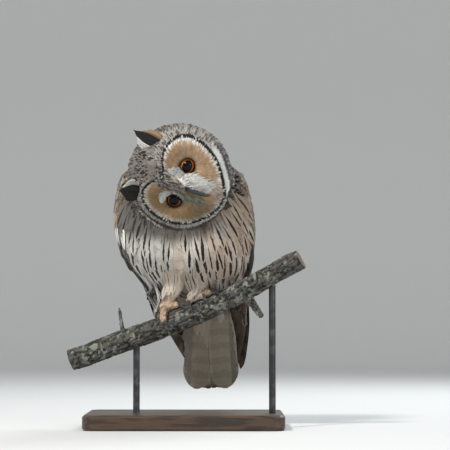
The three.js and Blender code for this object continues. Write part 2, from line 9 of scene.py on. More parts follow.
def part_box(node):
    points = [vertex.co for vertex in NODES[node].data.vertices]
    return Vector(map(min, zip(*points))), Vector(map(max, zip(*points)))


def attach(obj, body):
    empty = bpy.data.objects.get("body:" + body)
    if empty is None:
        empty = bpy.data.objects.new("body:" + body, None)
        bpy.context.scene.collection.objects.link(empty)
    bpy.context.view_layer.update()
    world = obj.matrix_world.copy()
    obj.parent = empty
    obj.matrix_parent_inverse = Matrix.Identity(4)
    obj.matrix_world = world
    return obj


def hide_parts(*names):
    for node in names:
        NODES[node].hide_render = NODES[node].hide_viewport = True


# A long-eared owl gripping a cut branch on a plain display stand. Metres, +Z up, the owl faces -Y.
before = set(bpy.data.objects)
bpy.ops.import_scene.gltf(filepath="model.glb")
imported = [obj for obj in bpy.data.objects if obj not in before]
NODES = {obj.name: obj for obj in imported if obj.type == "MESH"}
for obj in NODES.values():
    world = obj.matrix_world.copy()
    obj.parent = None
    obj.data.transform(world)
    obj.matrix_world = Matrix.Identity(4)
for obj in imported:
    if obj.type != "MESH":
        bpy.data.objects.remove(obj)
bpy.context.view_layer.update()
rng = np.random.default_rng(41)

MM = 0.001
FLESH = (
    "head", "neck", "trunk", "tail", "wing_left", "wing_right",
    "leg_left", "leg_right", "foot_left", "foot_right",
)
TOES = ("inner", "middle", "outer", "rear")
COAT_DEPTH = 2.2 * MM
# Where the breast's plain strip runs.
STRIP_X = -6 * MM

# The head's turn, as in the solids, and where its eyes lie on it.
HEAD_TIP_DOWN = math.radians(16)
HEAD_ROLL = math.radians(-69)
HEAD_TURN = math.radians(-2)
EYE_SIDE = 20 * MM
EYE_UP = -1.5 * MM
EYE_FORWARD = 24.5 * MM
EYE_RADIUS = 11 * MM

# The photograph's view: a long lens, a little below the owl's own height, looking slightly up.
CAMERA_AIM = Vector((0.048, 0.0, 0.242))
CAMERA_DISTANCE = 2.2
CAMERA_ELEVATION = math.radians(-3)
FRAME_WIDTH_AT_OWL = 0.54
SENSOR_WIDTH = 36.0

# Plumage colours, linear; some carry painted shade, as marked.
PALE = (0.47, 0.43, 0.385)
WHITE = (0.76, 0.75, 0.71)
GREY = (0.22, 0.205, 0.19)
BUFF = (0.46, 0.33, 0.21)
PEACH = (0.62, 0.44, 0.29)
TAN = (0.40, 0.235, 0.115)
BROWN = (0.125, 0.080, 0.050)
DARK = (0.030, 0.022, 0.018)
BLACK = (0.010, 0.009, 0.009)
BREAST_RIGHT = (0.51, 0.485, 0.455)
BREAST_LEFT = (0.43, 0.325, 0.25)
BREAST_STRIP = (0.60, 0.47, 0.33)
# Painted shadow of the head on the throat, over the throat's own darker feathers.
THROAT_SHADOW = (0.048, 0.040, 0.033)
LOW_SIDE = (0.055, 0.043, 0.034)
BACK_DARK = (0.17, 0.145, 0.12)
BACK_BROWN = (0.28, 0.205, 0.135)
# Near black on the wings' front edges: partly the wing's own dark edge, partly painted shade in the gap
# against the breast.
WING_EDGE_AND_SHADE = (0.034, 0.028, 0.025)
TAIL_GREY = (0.25, 0.225, 0.185)
DISC_TOP = (0.27, 0.155, 0.075)
DISC_GREYED = (0.30, 0.225, 0.165)
# The disc's lower half, turned down: painted shade, darker and more olive; next, its pale band in painted
# shade.
DISC_SHADED_HALF = (0.165, 0.105, 0.042)
DISC_LOW_EDGE_SHADED = (0.36, 0.35, 0.28)
RUFF_OUTER_DARK = (0.30, 0.275, 0.25)
RUFF_OUTER_PALE = (0.40, 0.375, 0.34)
# The lower brow's white painted greyer and greener: painted shade with a green cast of light; deeper painted
# shade near the lower eye.
LOW_BROW_IN_SHADE = (0.44, 0.47, 0.41)
LOW_BROW_SHADED = (0.15, 0.135, 0.075)
LOW_CHEEK = (0.20, 0.165, 0.115)
CROWN_SHADE = (0.80, 0.765, 0.73)
TUFT_BUFF = (0.30, 0.20, 0.115)
TUFT_BLACK = (0.022, 0.018, 0.016)


def unit(v):
    """Vectors at unit length."""
    return v / np.maximum(np.linalg.norm(v, axis=-1, keepdims=True), 1e-12)


def mix(a, b, share):
    """Colours between a and b, by a share for each point."""
    share = np.asarray(share)[..., None]
    return np.asarray(a) * (1 - share) + np.asarray(b) * share


def painted(colour, *layers):
    """A colour with others laid over it in turn, each by its own share."""
    for over, share in layers:
        colour = mix(colour, over, share)
    return colour


def ramp(x, low, high):
    """0 below low, 1 above high and smooth between."""
    t = np.clip((np.asarray(x, float) - low) / (high - low), 0, 1)
    return t * t * (3 - 2 * t)


HASH_PRIMES = (374761393, 668265263, 2147483647)
HASH_SEED = 974634777
HASH_MIXER = 1274126177
HASH_TOP = 0xFFFF


def lattice(cells, seed):
    """A repeatable random number from 0 to 1 for each whole-number cell."""
    mixed = sum(cells[..., axis] * prime for axis, prime in enumerate(HASH_PRIMES)) + seed * HASH_SEED
    mixed = (mixed ^ (mixed >> 13)) * HASH_MIXER
    return ((mixed ^ (mixed >> 16)) & HASH_TOP) / HASH_TOP


def noise3(points, size, seed=0):
    """Smooth noise from 0 to 1 over points, with features of the given size."""
    scaled = points / size
    cell = np.floor(scaled).astype(np.int64)
    part = scaled - cell
    part = part * part * (3 - 2 * part)
    total = 0
    for dx in (0, 1):
        for dy in (0, 1):
            for dz in (0, 1):
                weight = (
                    (part[..., 0] if dx else 1 - part[..., 0])
                    * (part[..., 1] if dy else 1 - part[..., 1])
                    * (part[..., 2] if dz else 1 - part[..., 2])
                )
                total = total + weight * lattice(cell + np.array([dx, dy, dz]), seed)
    return total


def mesh_arrays(mesh):
    """A mesh's vertices and triangles as arrays."""
    co = np.empty(len(mesh.vertices) * 3)
    mesh.vertices.foreach_get("co", co)
    mesh.calc_loop_triangles()
    tris = np.empty(len(mesh.loop_triangles) * 3, np.int32)
    mesh.loop_triangles.foreach_get("vertices", tris)
    return co.reshape(-1, 3), tris.reshape(-1, 3)


def new_mesh(name, verts, faces):
    """A smooth-shaded mesh whose faces all have the same number of corners."""
    mesh = bpy.data.meshes.new(name)
    verts = np.ascontiguousarray(verts, np.float32)
    faces = np.ascontiguousarray(faces, np.int32)
    size = faces.shape[1]
    mesh.vertices.add(len(verts))
    mesh.vertices.foreach_set("co", verts.ravel())
    mesh.loops.add(faces.size)
    mesh.loops.foreach_set("vertex_index", faces.ravel())
    mesh.polygons.add(len(faces))
    mesh.polygons.foreach_set("loop_start", np.arange(0, faces.size, size, dtype=np.int32))
    mesh.update(calc_edges=True)
    mesh.shade_smooth()
    return mesh


def link(name, data):
    """An object for some data, in the scene."""
    obj = bpy.data.objects.new(name, data)
    bpy.context.scene.collection.objects.link(obj)
    return obj


def new_object(name, mesh, material, replaces=()):
    """A finished piece of the visual model."""
    obj = link(name, mesh)
    mesh.materials.append(material)
    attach(obj, "root")
    if replaces:
        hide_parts(*replaces)


def add_values(mesh, name, values):
    """Stores one number, vector or colour for each vertex."""
    values = np.ascontiguousarray(values, np.float32)
    if values.ndim == 1:
        mesh.attributes.new(name, "FLOAT", "POINT").data.foreach_set("value", values)
    else:
        colour = np.ones((len(values), 4), np.float32)
        colour[:, :3] = values
        mesh.attributes.new(name, "FLOAT_COLOR", "POINT").data.foreach_set("color", colour.ravel())


def add_map(mesh, name, uv):
    """Stores a UV map given at each vertex."""
    loops = np.empty(len(mesh.loops), np.int32)
    mesh.loops.foreach_get("vertex_index", loops)
    layer = mesh.uv_layers.new(name=name)
    layer.data.foreach_set("uv", np.ascontiguousarray(uv[loops], np.float32).ravel())


def evaluated_copy(obj, name):
    """The mesh of an object with its modifiers applied; the object itself goes."""
    graph = bpy.context.evaluated_depsgraph_get()
    mesh = bpy.data.meshes.new_from_object(obj.evaluated_get(graph))
    mesh.name = name
    bpy.data.objects.remove(obj)
    return mesh


def remeshed(mesh, name, voxel, smoothing):
    """One closed mesh round all the parts of a mesh, evened out and smoothed."""
    obj = link(name, mesh)
    remesh = obj.modifiers.new("remesh", "REMESH")
    remesh.mode = "VOXEL"
    remesh.voxel_size = voxel
    smooth = obj.modifiers.new("smooth", "SMOOTH")
    smooth.iterations = smoothing
    return evaluated_copy(obj, name)


def vertex_normals(verts, tris):
    """Normals at the vertices, weighed by the area of the triangles round each."""
    corner = verts[tris]
    face_normal = np.cross(corner[:, 1] - corner[:, 0], corner[:, 2] - corner[:, 0])
    normal = np.zeros_like(verts)
    for k in range(3):
        np.add.at(normal, tris[:, k], face_normal)
    return unit(normal)


class Surface:
    """A mesh to lay feathers on: nearest points and rays, with smooth normals."""

    def __init__(self, verts, tris):
        self.verts = verts
        self.tris = tris
        self.normals = vertex_normals(verts, tris)
        self.face_normals = unit(self.normals[tris].mean(axis=1))
        self.tree = BVHTree.FromPolygons(verts.tolist(), tris.tolist())

    def nearest(self, points):
        """The nearest place on the surface to each point, its normal and its triangle."""
        places = np.empty_like(points)
        faces = np.zeros(len(points), np.int64)
        find = self.tree.find_nearest
        for i, point in enumerate(points):
            hit, _, face, _ = find(point)
            places[i] = hit
            faces[i] = face
        return places, self.face_normals[faces], faces

    def cast(self, starts, directions):
        """Where a ray from each start meets the surface; nan where it misses."""
        places = np.full_like(starts, np.nan)
        faces = np.full(len(starts), -1, np.int64)
        ray = self.tree.ray_cast
        for i in range(len(starts)):
            hit, _, face, _ = ray(starts[i], directions[i])
            if hit is not None:
                places[i] = hit
                faces[i] = face
        return places, self.face_normals[faces], faces


def joined_nodes(names):
    """The named nodes as one surface, and which of them each triangle is of."""
    verts, tris, owner, start = [], [], [], 0
    for i, name in enumerate(names):
        node_verts, node_tris = mesh_arrays(NODES[name].data)
        verts.append(node_verts)
        tris.append(node_tris + start)
        owner.append(np.full(len(node_tris), i))
        start += len(node_verts)
    return Surface(np.concatenate(verts), np.concatenate(tris)), np.concatenate(owner)


def surface_of(*names):
    """The named nodes as one surface."""
    return joined_nodes(names)[0]


def along_surface(ways, normals):
    """Ways turned to lie along the surface."""
    return unit(ways - normals * np.sum(ways * normals, axis=1, keepdims=True))


HEAD_TURNS = (
    Matrix.Rotation(HEAD_TIP_DOWN, 3, "X")
    @ Matrix.Rotation(HEAD_ROLL, 3, "Y")
    @ Matrix.Rotation(HEAD_TURN, 3, "Z")
)
HEAD_AXES = np.array(HEAD_TURNS)
ACROSS = HEAD_AXES[:, 0]
AHEAD = -HEAD_AXES[:, 1]
UPWARD = HEAD_AXES[:, 2]


def box_middle(node):
    """The middle of a node's box."""
    low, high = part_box(node)
    return (np.array(low) + np.array(high)) / 2


EYES_MIDDLE = (box_middle("eye_left") + box_middle("eye_right")) / 2
HEAD_CENTRE = EYES_MIDDLE - AHEAD * EYE_FORWARD - UPWARD * EYE_UP


def on_head(across, up, ahead):
    """World places from places on the head: across to its left, up to the crown, ahead of the face."""
    across, up, ahead = np.broadcast_arrays(across, up, ahead)
    return HEAD_CENTRE + across[..., None] * ACROSS + up[..., None] * UPWARD + ahead[..., None] * AHEAD


def head_places(points):
    """Places on the head from world places: across, up and ahead."""
    relative = points - HEAD_CENTRE
    return relative @ ACROSS, relative @ UPWARD, relative @ AHEAD


# The disc's black edge about its middle, on the owl's left and right: distance for each angle from
# straight across, up positive.
DISC_MIDDLE_UP = -6 * MM
DISC_ANGLES = np.radians([-90, -75, -60, -45, -30, -15, 0, 15, 30, 45, 60, 72, 90])
DISC_REACH_LEFT = np.array([47.6, 44.6, 43.2, 43.7, 45.8, 48.2, 51.6, 54.8, 54.4, 48.8, 40, 31, 25]) * MM
DISC_REACH_RIGHT = np.array([47.6, 48.4, 47.0, 46.1, 46.5, 47.2, 47.6, 48.4, 50.0, 50.8, 48, 41, 28]) * MM
DISC_EDGE_SHARE = 0.945


def disc_reach(across, angle):
    """How far the disc's black edge is from the disc's middle at each angle."""
    left = np.interp(angle, DISC_ANGLES, DISC_REACH_LEFT)
    right = np.interp(angle, DISC_ANGLES, DISC_REACH_RIGHT)
    share = ramp(across, -5 * MM, 5 * MM)
    return left * share + right * (1 - share)


def disc_share(across, up):
    """0 at the disc's middle, DISC_EDGE_SHARE on its black edge; and the angle from straight across."""
    angle = np.arctan2(up - DISC_MIDDLE_UP, np.abs(across))
    return np.hypot(across, up - DISC_MIDDLE_UP) / disc_reach(across, angle) * DISC_EDGE_SHARE, angle


# The white brows, from their outer ends over the eyes down beside the bill: across, up, half width.
BROWS = {
    1: np.array([(10.5, 13.5, 2.4), (12.0, 8.0, 4.6), (8.5, 0.5, 4.8), (6.5, -9.0, 5.4),
                 (6.5, -19.0, 6.8), (4.8, -31.0, 5.2)]) * MM,
    -1: np.array([(-25.0, 12.5, 2.0), (-19.0, 13.5, 3.0), (-15.0, 8.5, 3.4), (-13.2, 0.5, 3.4),
                  (-10.8, -8.0, 3.6), (-9.5, -17.0, 4.2), (-10.0, -29.0, 4.8)]) * MM,
}
# The speckled wedge between the brows: its two sides at each height on the face.
WEDGE_UP = np.array([-12, 0, 10, 17, 30]) * MM
WEDGE_LEFT = np.array([-1.0, 3.0, 6.5, 9.0, 11.0]) * MM
WEDGE_RIGHT = np.array([-4.5, -9.5, -12.0, -13.0, -9.0]) * MM


def distance_to_line(across, up, line):
    """Distance to a chain of points, and how far along it the nearest place is, from 0 to 1."""
    best = np.full(np.shape(across), np.inf)
    where = np.zeros(np.shape(across))
    point = np.stack([across, up], axis=-1)
    for i in range(len(line) - 1):
        step = line[i + 1] - line[i]
        t = np.clip(((point - line[i]) @ step) / (step @ step), 0, 1)
        gap = np.linalg.norm(point - line[i] - t[..., None] * step, axis=-1)
        nearer = gap < best
        best = np.where(nearer, gap, best)
        where = np.where(nearer, (i + t) / (len(line) - 1), where)
    return best, where


def eye_and_brow_colour(colour, across, up, side):
    """Adds the black round one eye and the brow beside it."""
    eye_gap = np.hypot((across - side * 19.5 * MM) * 0.95, (up + 1.5 * MM) * 1.12) / MM
    colour = mix(colour, BROWN, 0.7 * (1 - ramp(eye_gap, 9.5, 16)))
    inner = np.hypot(across - side * 13.5 * MM, (up + 5 * MM) / 1.25) / MM
    black = np.maximum(1 - ramp(eye_gap, 10, 11.8), 1 - ramp(inner, 5, 7.2))
    colour = mix(colour, BLACK, black)
    brow = BROWS[side]
    gap, where = distance_to_line(across, up, brow[:, :2])
    width = np.interp(where, np.linspace(0, 1, len(brow)), brow[:, 2])
    outline = 0.75 * (1 - ramp(gap, width + 1.0 * MM, width + 2.2 * MM)) * (where < 0.2)
    colour = mix(colour, DARK, outline)
    # The lower brow is painted in shade, deepest towards the lower eye.
    ground = WHITE if side > 0 else mix(LOW_BROW_IN_SHADE, LOW_BROW_SHADED, ramp(where, 0.45, 0.6))
    return mix(colour, ground, 1 - ramp(gap, width - 0.6 * MM, width + 0.6 * MM))


def face_colour(across, up, luck):
    """The facial disc's markings, with painted shade on its lower half, from places on the head; luck is
    random from 0 to 1 for each.
    """
    share, angle = disc_share(across, up)
    spot = np.stack([across, up, np.zeros_like(across)], axis=-1)
    patchy = noise3(spot, 9 * MM, 3)
    fine = noise3(spot, 2.2 * MM, 7)
    lit = ramp(share + (luck - 0.5) * 0.10, 0.845, 0.90)
    # On the disc's lower half the pale band is greyer: painted shade.
    lit_ground = mix(WHITE, DISC_LOW_EDGE_SHADED, 0.75 * ramp(-across, 4 * MM, 24 * MM))
    speckled = np.where(luck < 0.30, 1.0, 0.0)
    bead = ramp(np.sin(angle * 74) + (fine - 0.5) * 2.2, -0.95, -0.55)
    rim = ramp(share, 0.915, 0.93) * (1 - ramp(share, 0.965, 0.98))
    chinward = np.where(across > 0, ramp(-angle, 0.1, 0.45), 0.28 * ramp(-angle, 0.0, 0.5))
    ruff = ramp(share, 0.965, 0.985) * (1 - ramp(share, 1.06, 1.09))
    ruff_ground = mix(mix(GREY, PALE, luck * 0.6), WHITE, chinward * 0.95)
    beyond = mix(mix(RUFF_OUTER_DARK, RUFF_OUTER_PALE, luck), DARK, speckled * 0.8)
    edge = ramp(share, 1.07, 1.09) * (1 - ramp(share, 1.13, 1.17))
    in_left = 1 - ramp(across - np.interp(up, WEDGE_UP, WEDGE_LEFT), -1.5 * MM, 1.0 * MM)
    in_right = ramp(across - np.interp(up, WEDGE_UP, WEDGE_RIGHT), -1.0 * MM, 1.5 * MM)
    wedge = in_left * in_right * ramp(up, -13 * MM, -9 * MM)
    speck = mix(mix(GREY, PALE, luck), DARK, ramp(fine + (luck - 0.5) * 0.9, 0.42, 0.62))
    colour = painted(
        mix(TAN, BUFF, ramp(patchy + (luck - 0.5) * 0.6, 0.35, 0.9)),
        (DISC_TOP, 0.5 * ramp(up, 2 * MM, 22 * MM)),
        (DISC_GREYED, 0.30),
        # The disc's lower half darker and more olive: painted shade.
        (DISC_SHADED_HALF, 0.72 * ramp(-across, 6 * MM, 26 * MM)),
        (PALE, 0.35 * ramp(share, 0.80, 0.90)),
        (lit_ground, lit * 0.9),
        (DARK, lit * speckled * 0.8),
        (BLACK, rim * bead),
        (mix(ruff_ground, DARK, speckled * (1 - chinward) * 0.6), ruff),
        (beyond, ramp(share, 1.035, 1.075) * (1 - chinward)),
        (BLACK, edge * np.where(across > 0, 0.2 + 0.75 * chinward, 0.85)),
        (speck, wedge * 0.95),
    )
    for side in (1, -1):
        colour = eye_and_brow_colour(colour, across, up, side)
    beside_bill = (1 - ramp(np.abs(across), 12 * MM, 24 * MM)) * (1 - ramp(up, -40 * MM, -26 * MM))
    beside_bill = beside_bill * ramp(across, -3 * MM, 3 * MM) * (share < 0.9)
    low_cheek = (1 - ramp(across, -16 * MM, -3 * MM)) * (1 - ramp(up, -34 * MM, -22 * MM)) * (share < 0.9)
    chin = (1 - ramp(np.abs(across), 9 * MM, 15 * MM)) * (1 - ramp(up, -47 * MM, -40 * MM)) * (share < 1.0)
    return painted(
        colour,
        (mix(PALE, WHITE, luck), 0.35 * beside_bill),
        (mix(BROWN, LOW_CHEEK, luck), 0.6 * low_cheek),
        (mix(BROWN, PALE, luck), chin * 0.85),
    )


def crown_colour(across, up, ahead, luck):
    """Ground colour of the crown, cheeks and nape."""
    spot = np.stack([across, up, ahead], axis=-1)
    patchy = noise3(spot, 16 * MM, 11)
    colour = mix(GREY, PALE, 0.30 * ramp(patchy, 0.3, 0.8) + 0.25 * luck)
    colour = colour * np.array(CROWN_SHADE)
    colour = mix(colour, BUFF, 0.30 * ramp(noise3(spot, 22 * MM, 13), 0.45, 0.85))
    ear_white = 0.35 * np.exp(-(((across - 17 * MM) / (9 * MM)) ** 2 + ((up - 35 * MM) / (7 * MM)) ** 2))
    ear_white += np.exp(-(((across + 19 * MM) / (9 * MM)) ** 2 + ((up - 38 * MM) / (8 * MM)) ** 2))
    return mix(colour, WHITE, np.clip(ear_white, 0, 1) * 0.42 * ramp(ahead, 2 * MM, 20 * MM))


TUFT_PATCH = 0.003
CELL_FILL = 0.84


def root_map(place):
    """A small patch for each fine tuft, at its root's place on the unwrap."""
    low, high = place.min(axis=0), place.max(axis=0)
    return TUFT_PATCH + (1 - 2 * TUFT_PATCH) * (place - low) / (high - low), TUFT_PATCH / 2


def spread_map(place):
    """A cell of its own for each marked feather, in the order of its root's place on the unwrap."""
    total = len(place)
    columns = math.ceil(math.sqrt(total))
    rows = math.ceil(total / columns)
    order = np.argsort(place[:, 1], kind="stable")
    cell = np.empty((total, 2))
    for row in range(rows):
        chosen = order[row * columns : (row + 1) * columns]
        chosen = chosen[np.argsort(place[chosen, 0], kind="stable")]
        cell[chosen, 0] = (np.arange(len(chosen)) + 0.5) / columns
        cell[chosen, 1] = (row + 0.5) / rows
    return cell, CELL_FILL / 2 / max(columns, rows)


def traits_of(count, streak=0.0, bars=0.0, mottle=0.0):
    """Each feather's streak width, bar strength and mottling."""
    parts = [np.broadcast_to(np.asarray(part, float), count) for part in (streak, bars, mottle)]
    return np.stack(parts, axis=1)


def vanes(name, spine, normal, half_width, tint, mark, traits, seeds, place,
          across=(-1, -0.5, 0, 0.5, 1), camber=0.18, replaces=(), ragged=0.0, fine=False):
    """One mesh of many feathers. spine and normal are (feathers, rows, 3), half_width (feathers, rows)."""
    count, rows, _ = spine.shape
    t = np.array(across, float)
    columns = len(t)
    heading = unit(np.gradient(spine, axis=1))
    aside = unit(np.cross(heading, normal))
    width = half_width[..., None] * t
    if ragged:
        width = width * (1 + ragged * rng.uniform(-1, 1, width.shape))
    verts = (
        spine[:, :, None]
        + aside[:, :, None] * width[..., None]
        - normal[:, :, None] * (camber * half_width[..., None] * t**2)[..., None]
    )
    grid = np.arange(rows * columns).reshape(rows, columns)
    quad = np.stack([grid[:-1, :-1], grid[:-1, 1:], grid[1:, 1:], grid[1:, :-1]], axis=-1).reshape(-1, 4)
    faces = (quad[None] + (np.arange(count) * rows * columns)[:, None, None]).reshape(-1, 4)
    mesh = new_mesh(name, verts.reshape(-1, 3), faces)
    s = np.linspace(0, 1, rows)
    local = np.stack(np.broadcast_arrays((t * 0.5 + 0.5)[None, :], s[:, None]), axis=-1)
    cell, half = root_map(place) if fine else spread_map(place)
    bake = cell[:, None, None] + (local - 0.5)[None] * 2 * half
    add_map(mesh, "OFBake", bake.reshape(-1, 2))
    add_map(mesh, "Vane", np.broadcast_to(local, (count, rows, columns, 2)).reshape(-1, 2))

    def per_vertex(values):
        values = np.asarray(values, float)
        if values.ndim == 2:
            values = np.broadcast_to(values[:, None, None], (count, rows, columns, values.shape[1]))
        else:
            values = np.broadcast_to(values[:, :, None], (count, rows, columns, values.shape[2]))
        return values.reshape(-1, values.shape[-1])

    add_values(mesh, "tint", per_vertex(tint))
    add_values(mesh, "mark", per_vertex(mark))
    add_values(mesh, "traits", per_vertex(traits))
    add_values(mesh, "seed", np.repeat(seeds, rows * columns))
    new_object(name, mesh, PLUMAGE, replaces)


def walk(surface, roots, headings, lengths, rows):
    """Spines that follow a surface from their roots: places and normals, (feathers, rows, 3)."""
    places = np.empty((len(roots), rows, 3))
    normals = np.empty_like(places)
    here, normal, _ = surface.nearest(roots)
    heading = headings.copy()
    step = (lengths / (rows - 1))[:, None]
    for row in range(rows):
        places[:, row] = here
        normals[:, row] = normal
        heading = along_surface(heading, normal)
        if row < rows - 1:
            here, turned, _ = surface.nearest(here + heading * step)
            normal = unit(normal * 0.45 + turned * 0.55)
    return places, normals


def raised(places, normals, low, high, power=1.0):
    """Lifts spines off the surface: low at the root, high at the tip."""
    s = np.linspace(0, 1, places.shape[1]) ** power
    low = np.broadcast_to(low, len(places))[:, None]
    high = np.broadcast_to(high, len(places))[:, None]
    return places + normals * (low + (high - low) * s)[..., None]


def leaf(rows, widest=0.6, tip=0.12, root=0.35):
    """A body feather's half width along it, as a share of the most."""
    s = np.linspace(0, 1, rows)
    grow = root + (1 - root) * ramp(s, 0, widest)
    end = np.sqrt(np.clip(1 - (np.clip(s - widest, 0, 1) / (1 - widest)) ** 2, 0, 1))
    return grow * np.maximum(end, tip)


def widths(shape, low, high, count):
    """Half widths along each feather, its most between two sizes in millimetres."""
    return shape[None] * (rng.uniform(low, high, count) * MM)[:, None]


# Materials.


class Nodes:
    """Short hand for building a material's node tree."""

    def __init__(self, name):
        self.material = bpy.data.materials.new(name)
        self.material.use_nodes = True
        self.tree = self.material.node_tree
        self.shader = self.tree.nodes["Principled BSDF"]

    def add(self, kind, **settings):
        node = self.tree.nodes.new(kind)
        for key, value in settings.items():
            setattr(node, key, value)
        return node

    def feed(self, socket, value):
        if isinstance(value, bpy.types.NodeSocket):
            self.tree.links.new(value, socket)
        else:
            socket.default_value = value

    def math(self, operation, *values, clamp=False):
        node = self.add("ShaderNodeMath", operation=operation, use_clamp=clamp)
        for socket, value in zip(node.inputs, values):
            self.feed(socket, value)
        return node.outputs[0]

    def times(self, first, second):
        return self.math("MULTIPLY", first, second)

    def range(self, value, low, high, to_low=0.0, to_high=1.0):
        node = self.add("ShaderNodeMapRange", interpolation_type="SMOOTHSTEP")
        sockets = ("Value", "From Min", "From Max", "To Min", "To Max")
        for key, item in zip(sockets, (value, low, high, to_low, to_high)):
            self.feed(node.inputs[key], item)
        return node.outputs["Result"]

    def mix(self, share, first, second, blend="MIX"):
        node = self.add("ShaderNodeMix", data_type="RGBA", blend_type=blend)
        self.feed(node.inputs[0], share)
        for socket, value in ((node.inputs[6], first), (node.inputs[7], second)):
            self.feed(socket, (*value, 1.0) if isinstance(value, tuple) and len(value) == 3 else value)
        return node.outputs[2]

    def attribute(self, name, output="Color"):
        return self.add("ShaderNodeAttribute", attribute_name=name).outputs[output]

    def place(self):
        return self.add("ShaderNodeTexCoord").outputs["Object"]

    def vector(self, *parts):
        node = self.add("ShaderNodeCombineXYZ")
        for socket, part in zip(node.inputs, parts):
            self.feed(socket, part)
        return node.outputs[0]

    def shaded(self, colour, shade):
        """A colour made darker or lighter by a shade."""
        grey = self.add("ShaderNodeCombineColor")
        for socket in grey.inputs:
            self.feed(socket, shade)
        return self.mix(1.0, colour, grey.outputs[0], "MULTIPLY")

    def noise(self, vector, scale, detail=3.0, stretch=None):
        if stretch:
            mapping = self.add("ShaderNodeMapping")
            self.feed(mapping.inputs["Vector"], vector)
            mapping.inputs["Scale"].default_value = stretch
            vector = mapping.outputs[0]
        node = self.add("ShaderNodeTexNoise")
        self.feed(node.inputs["Vector"], vector)
        node.inputs["Scale"].default_value = scale
        node.inputs["Detail"].default_value = detail
        return node.outputs["Fac"]

    def bump(self, height, distance, strength=1.0):
        node = self.add("ShaderNodeBump")
        node.inputs["Distance"].default_value = distance
        node.inputs["Strength"].default_value = strength
        self.feed(node.inputs["Height"], height)
        self.feed(self.shader.inputs["Normal"], node.outputs[0])

    def finish(self, colour, roughness=0.8, **constants):
        self.feed(self.shader.inputs["Base Color"], colour)
        self.feed(self.shader.inputs["Roughness"], roughness)
        for name, value in constants.items():
            self.shader.inputs[name.replace("_", " ")].default_value = value
        return self.material


def plumage_material():
    """Feathers: a ground and a mark colour, with a shaft streak, bars and mottling by each one's traits."""
    n = Nodes("plumage")
    uv = n.add("ShaderNodeUVMap", uv_map="Vane").outputs[0]
    split = n.add("ShaderNodeSeparateXYZ")
    n.feed(split.inputs[0], uv)
    side = n.math("MULTIPLY_ADD", split.outputs[0], 2.0, -1.0)
    outward = n.math("ABSOLUTE", side)
    along = split.outputs[1]
    traits = n.add("ShaderNodeSeparateColor")
    n.feed(traits.inputs[0], n.attribute("traits"))
    seed = n.attribute("seed", "Fac")
    spot = n.vector(
        n.math("MULTIPLY_ADD", split.outputs[0], 1.6, n.times(seed, 37.0)),
        n.times(along, 3.0),
        n.times(seed, 91.0),
    )
    rough_noise = n.noise(spot, 2.2, 3.0)
    fine_noise = n.noise(spot, 9.0, 4.0)
    wander = n.math("MULTIPLY_ADD", rough_noise, 0.5, -0.25)
    off_shaft = n.math("ABSOLUTE", n.math("ADD", side, wander))
    swell = n.range(along, 0.12, 0.55, 0.35, 1.0)
    swell = n.times(swell, n.range(along, 0.88, 1.0, 1.0, 0.15))
    streak_width = n.times(traits.outputs[0], swell)
    streak_edge = n.times(streak_width, 0.8)
    streak = n.range(off_shaft, streak_edge, n.math("ADD", streak_width, 0.07), 1.0, 0.0)
    streak = n.times(streak, n.range(traits.outputs[0], 0.0, 0.05))
    chevron = n.math("MULTIPLY_ADD", outward, -0.012, along)
    wave = n.math("SINE", n.math("MULTIPLY_ADD", chevron, 44.0, n.times(rough_noise, 3.0)))
    bars = n.times(n.range(wave, -0.1, 0.35), traits.outputs[1])
    mottle = n.times(n.range(fine_noise, 0.50, 0.60), traits.outputs[2])
    marked = n.math("MAXIMUM", n.math("MAXIMUM", streak, bars), mottle, clamp=True)
    colour = n.mix(marked, n.attribute("tint"), n.attribute("mark"))
    barb = n.math("MULTIPLY_ADD", outward, -40.0, n.times(along, 150.0))
    barb_wave = n.math("SINE", n.math("ADD", barb, n.times(fine_noise, 5.0)))
    shade = n.range(barb_wave, -1.0, 1.0, 0.90, 1.05)
    shade = n.times(shade, n.range(outward, 0.80, 1.0, 1.0, 1.25))
    n.bump(barb_wave, 0.0002, 0.35)
    colour = n.shaded(colour, shade)
    return n.finish(colour, 0.82, Specular_IOR_Level=0.25, Sheen_Weight=0.12, Sheen_Roughness=0.5)


def skin_material():
    """Down and skin under the feathers: the same markings, softer."""
    n = Nodes("down")
    place = n.place()
    fluff = n.noise(place, 900.0, 4.0)
    colour = n.shaded(n.attribute("tint"), n.range(fluff, 0.3, 0.7, 0.55, 0.85))
    n.bump(fluff, 0.0006, 0.6)
    return n.finish(colour, 0.95, Specular_IOR_Level=0.1)


def horn_material(name, root_colour, tip_colour, roughness):
    """Bill and claws: layered horn with fine growth lines."""
    n = Nodes(name)
    place = n.place()
    cloud = n.noise(place, 240.0, 4.0)
    lines = n.noise(place, 900.0, 3.0, stretch=(1.0, 1.0, 0.25))
    colour = n.mix(n.range(cloud, 0.35, 0.7), root_colour, tip_colour)
    n.bump(n.math("MULTIPLY_ADD", lines, 0.6, cloud), 0.00015, 0.5)
    gloss = n.range(lines, 0.3, 0.7, roughness, roughness + 0.15)
    return n.finish(colour, gloss, Coat_Weight=0.25, Coat_Roughness=0.25)


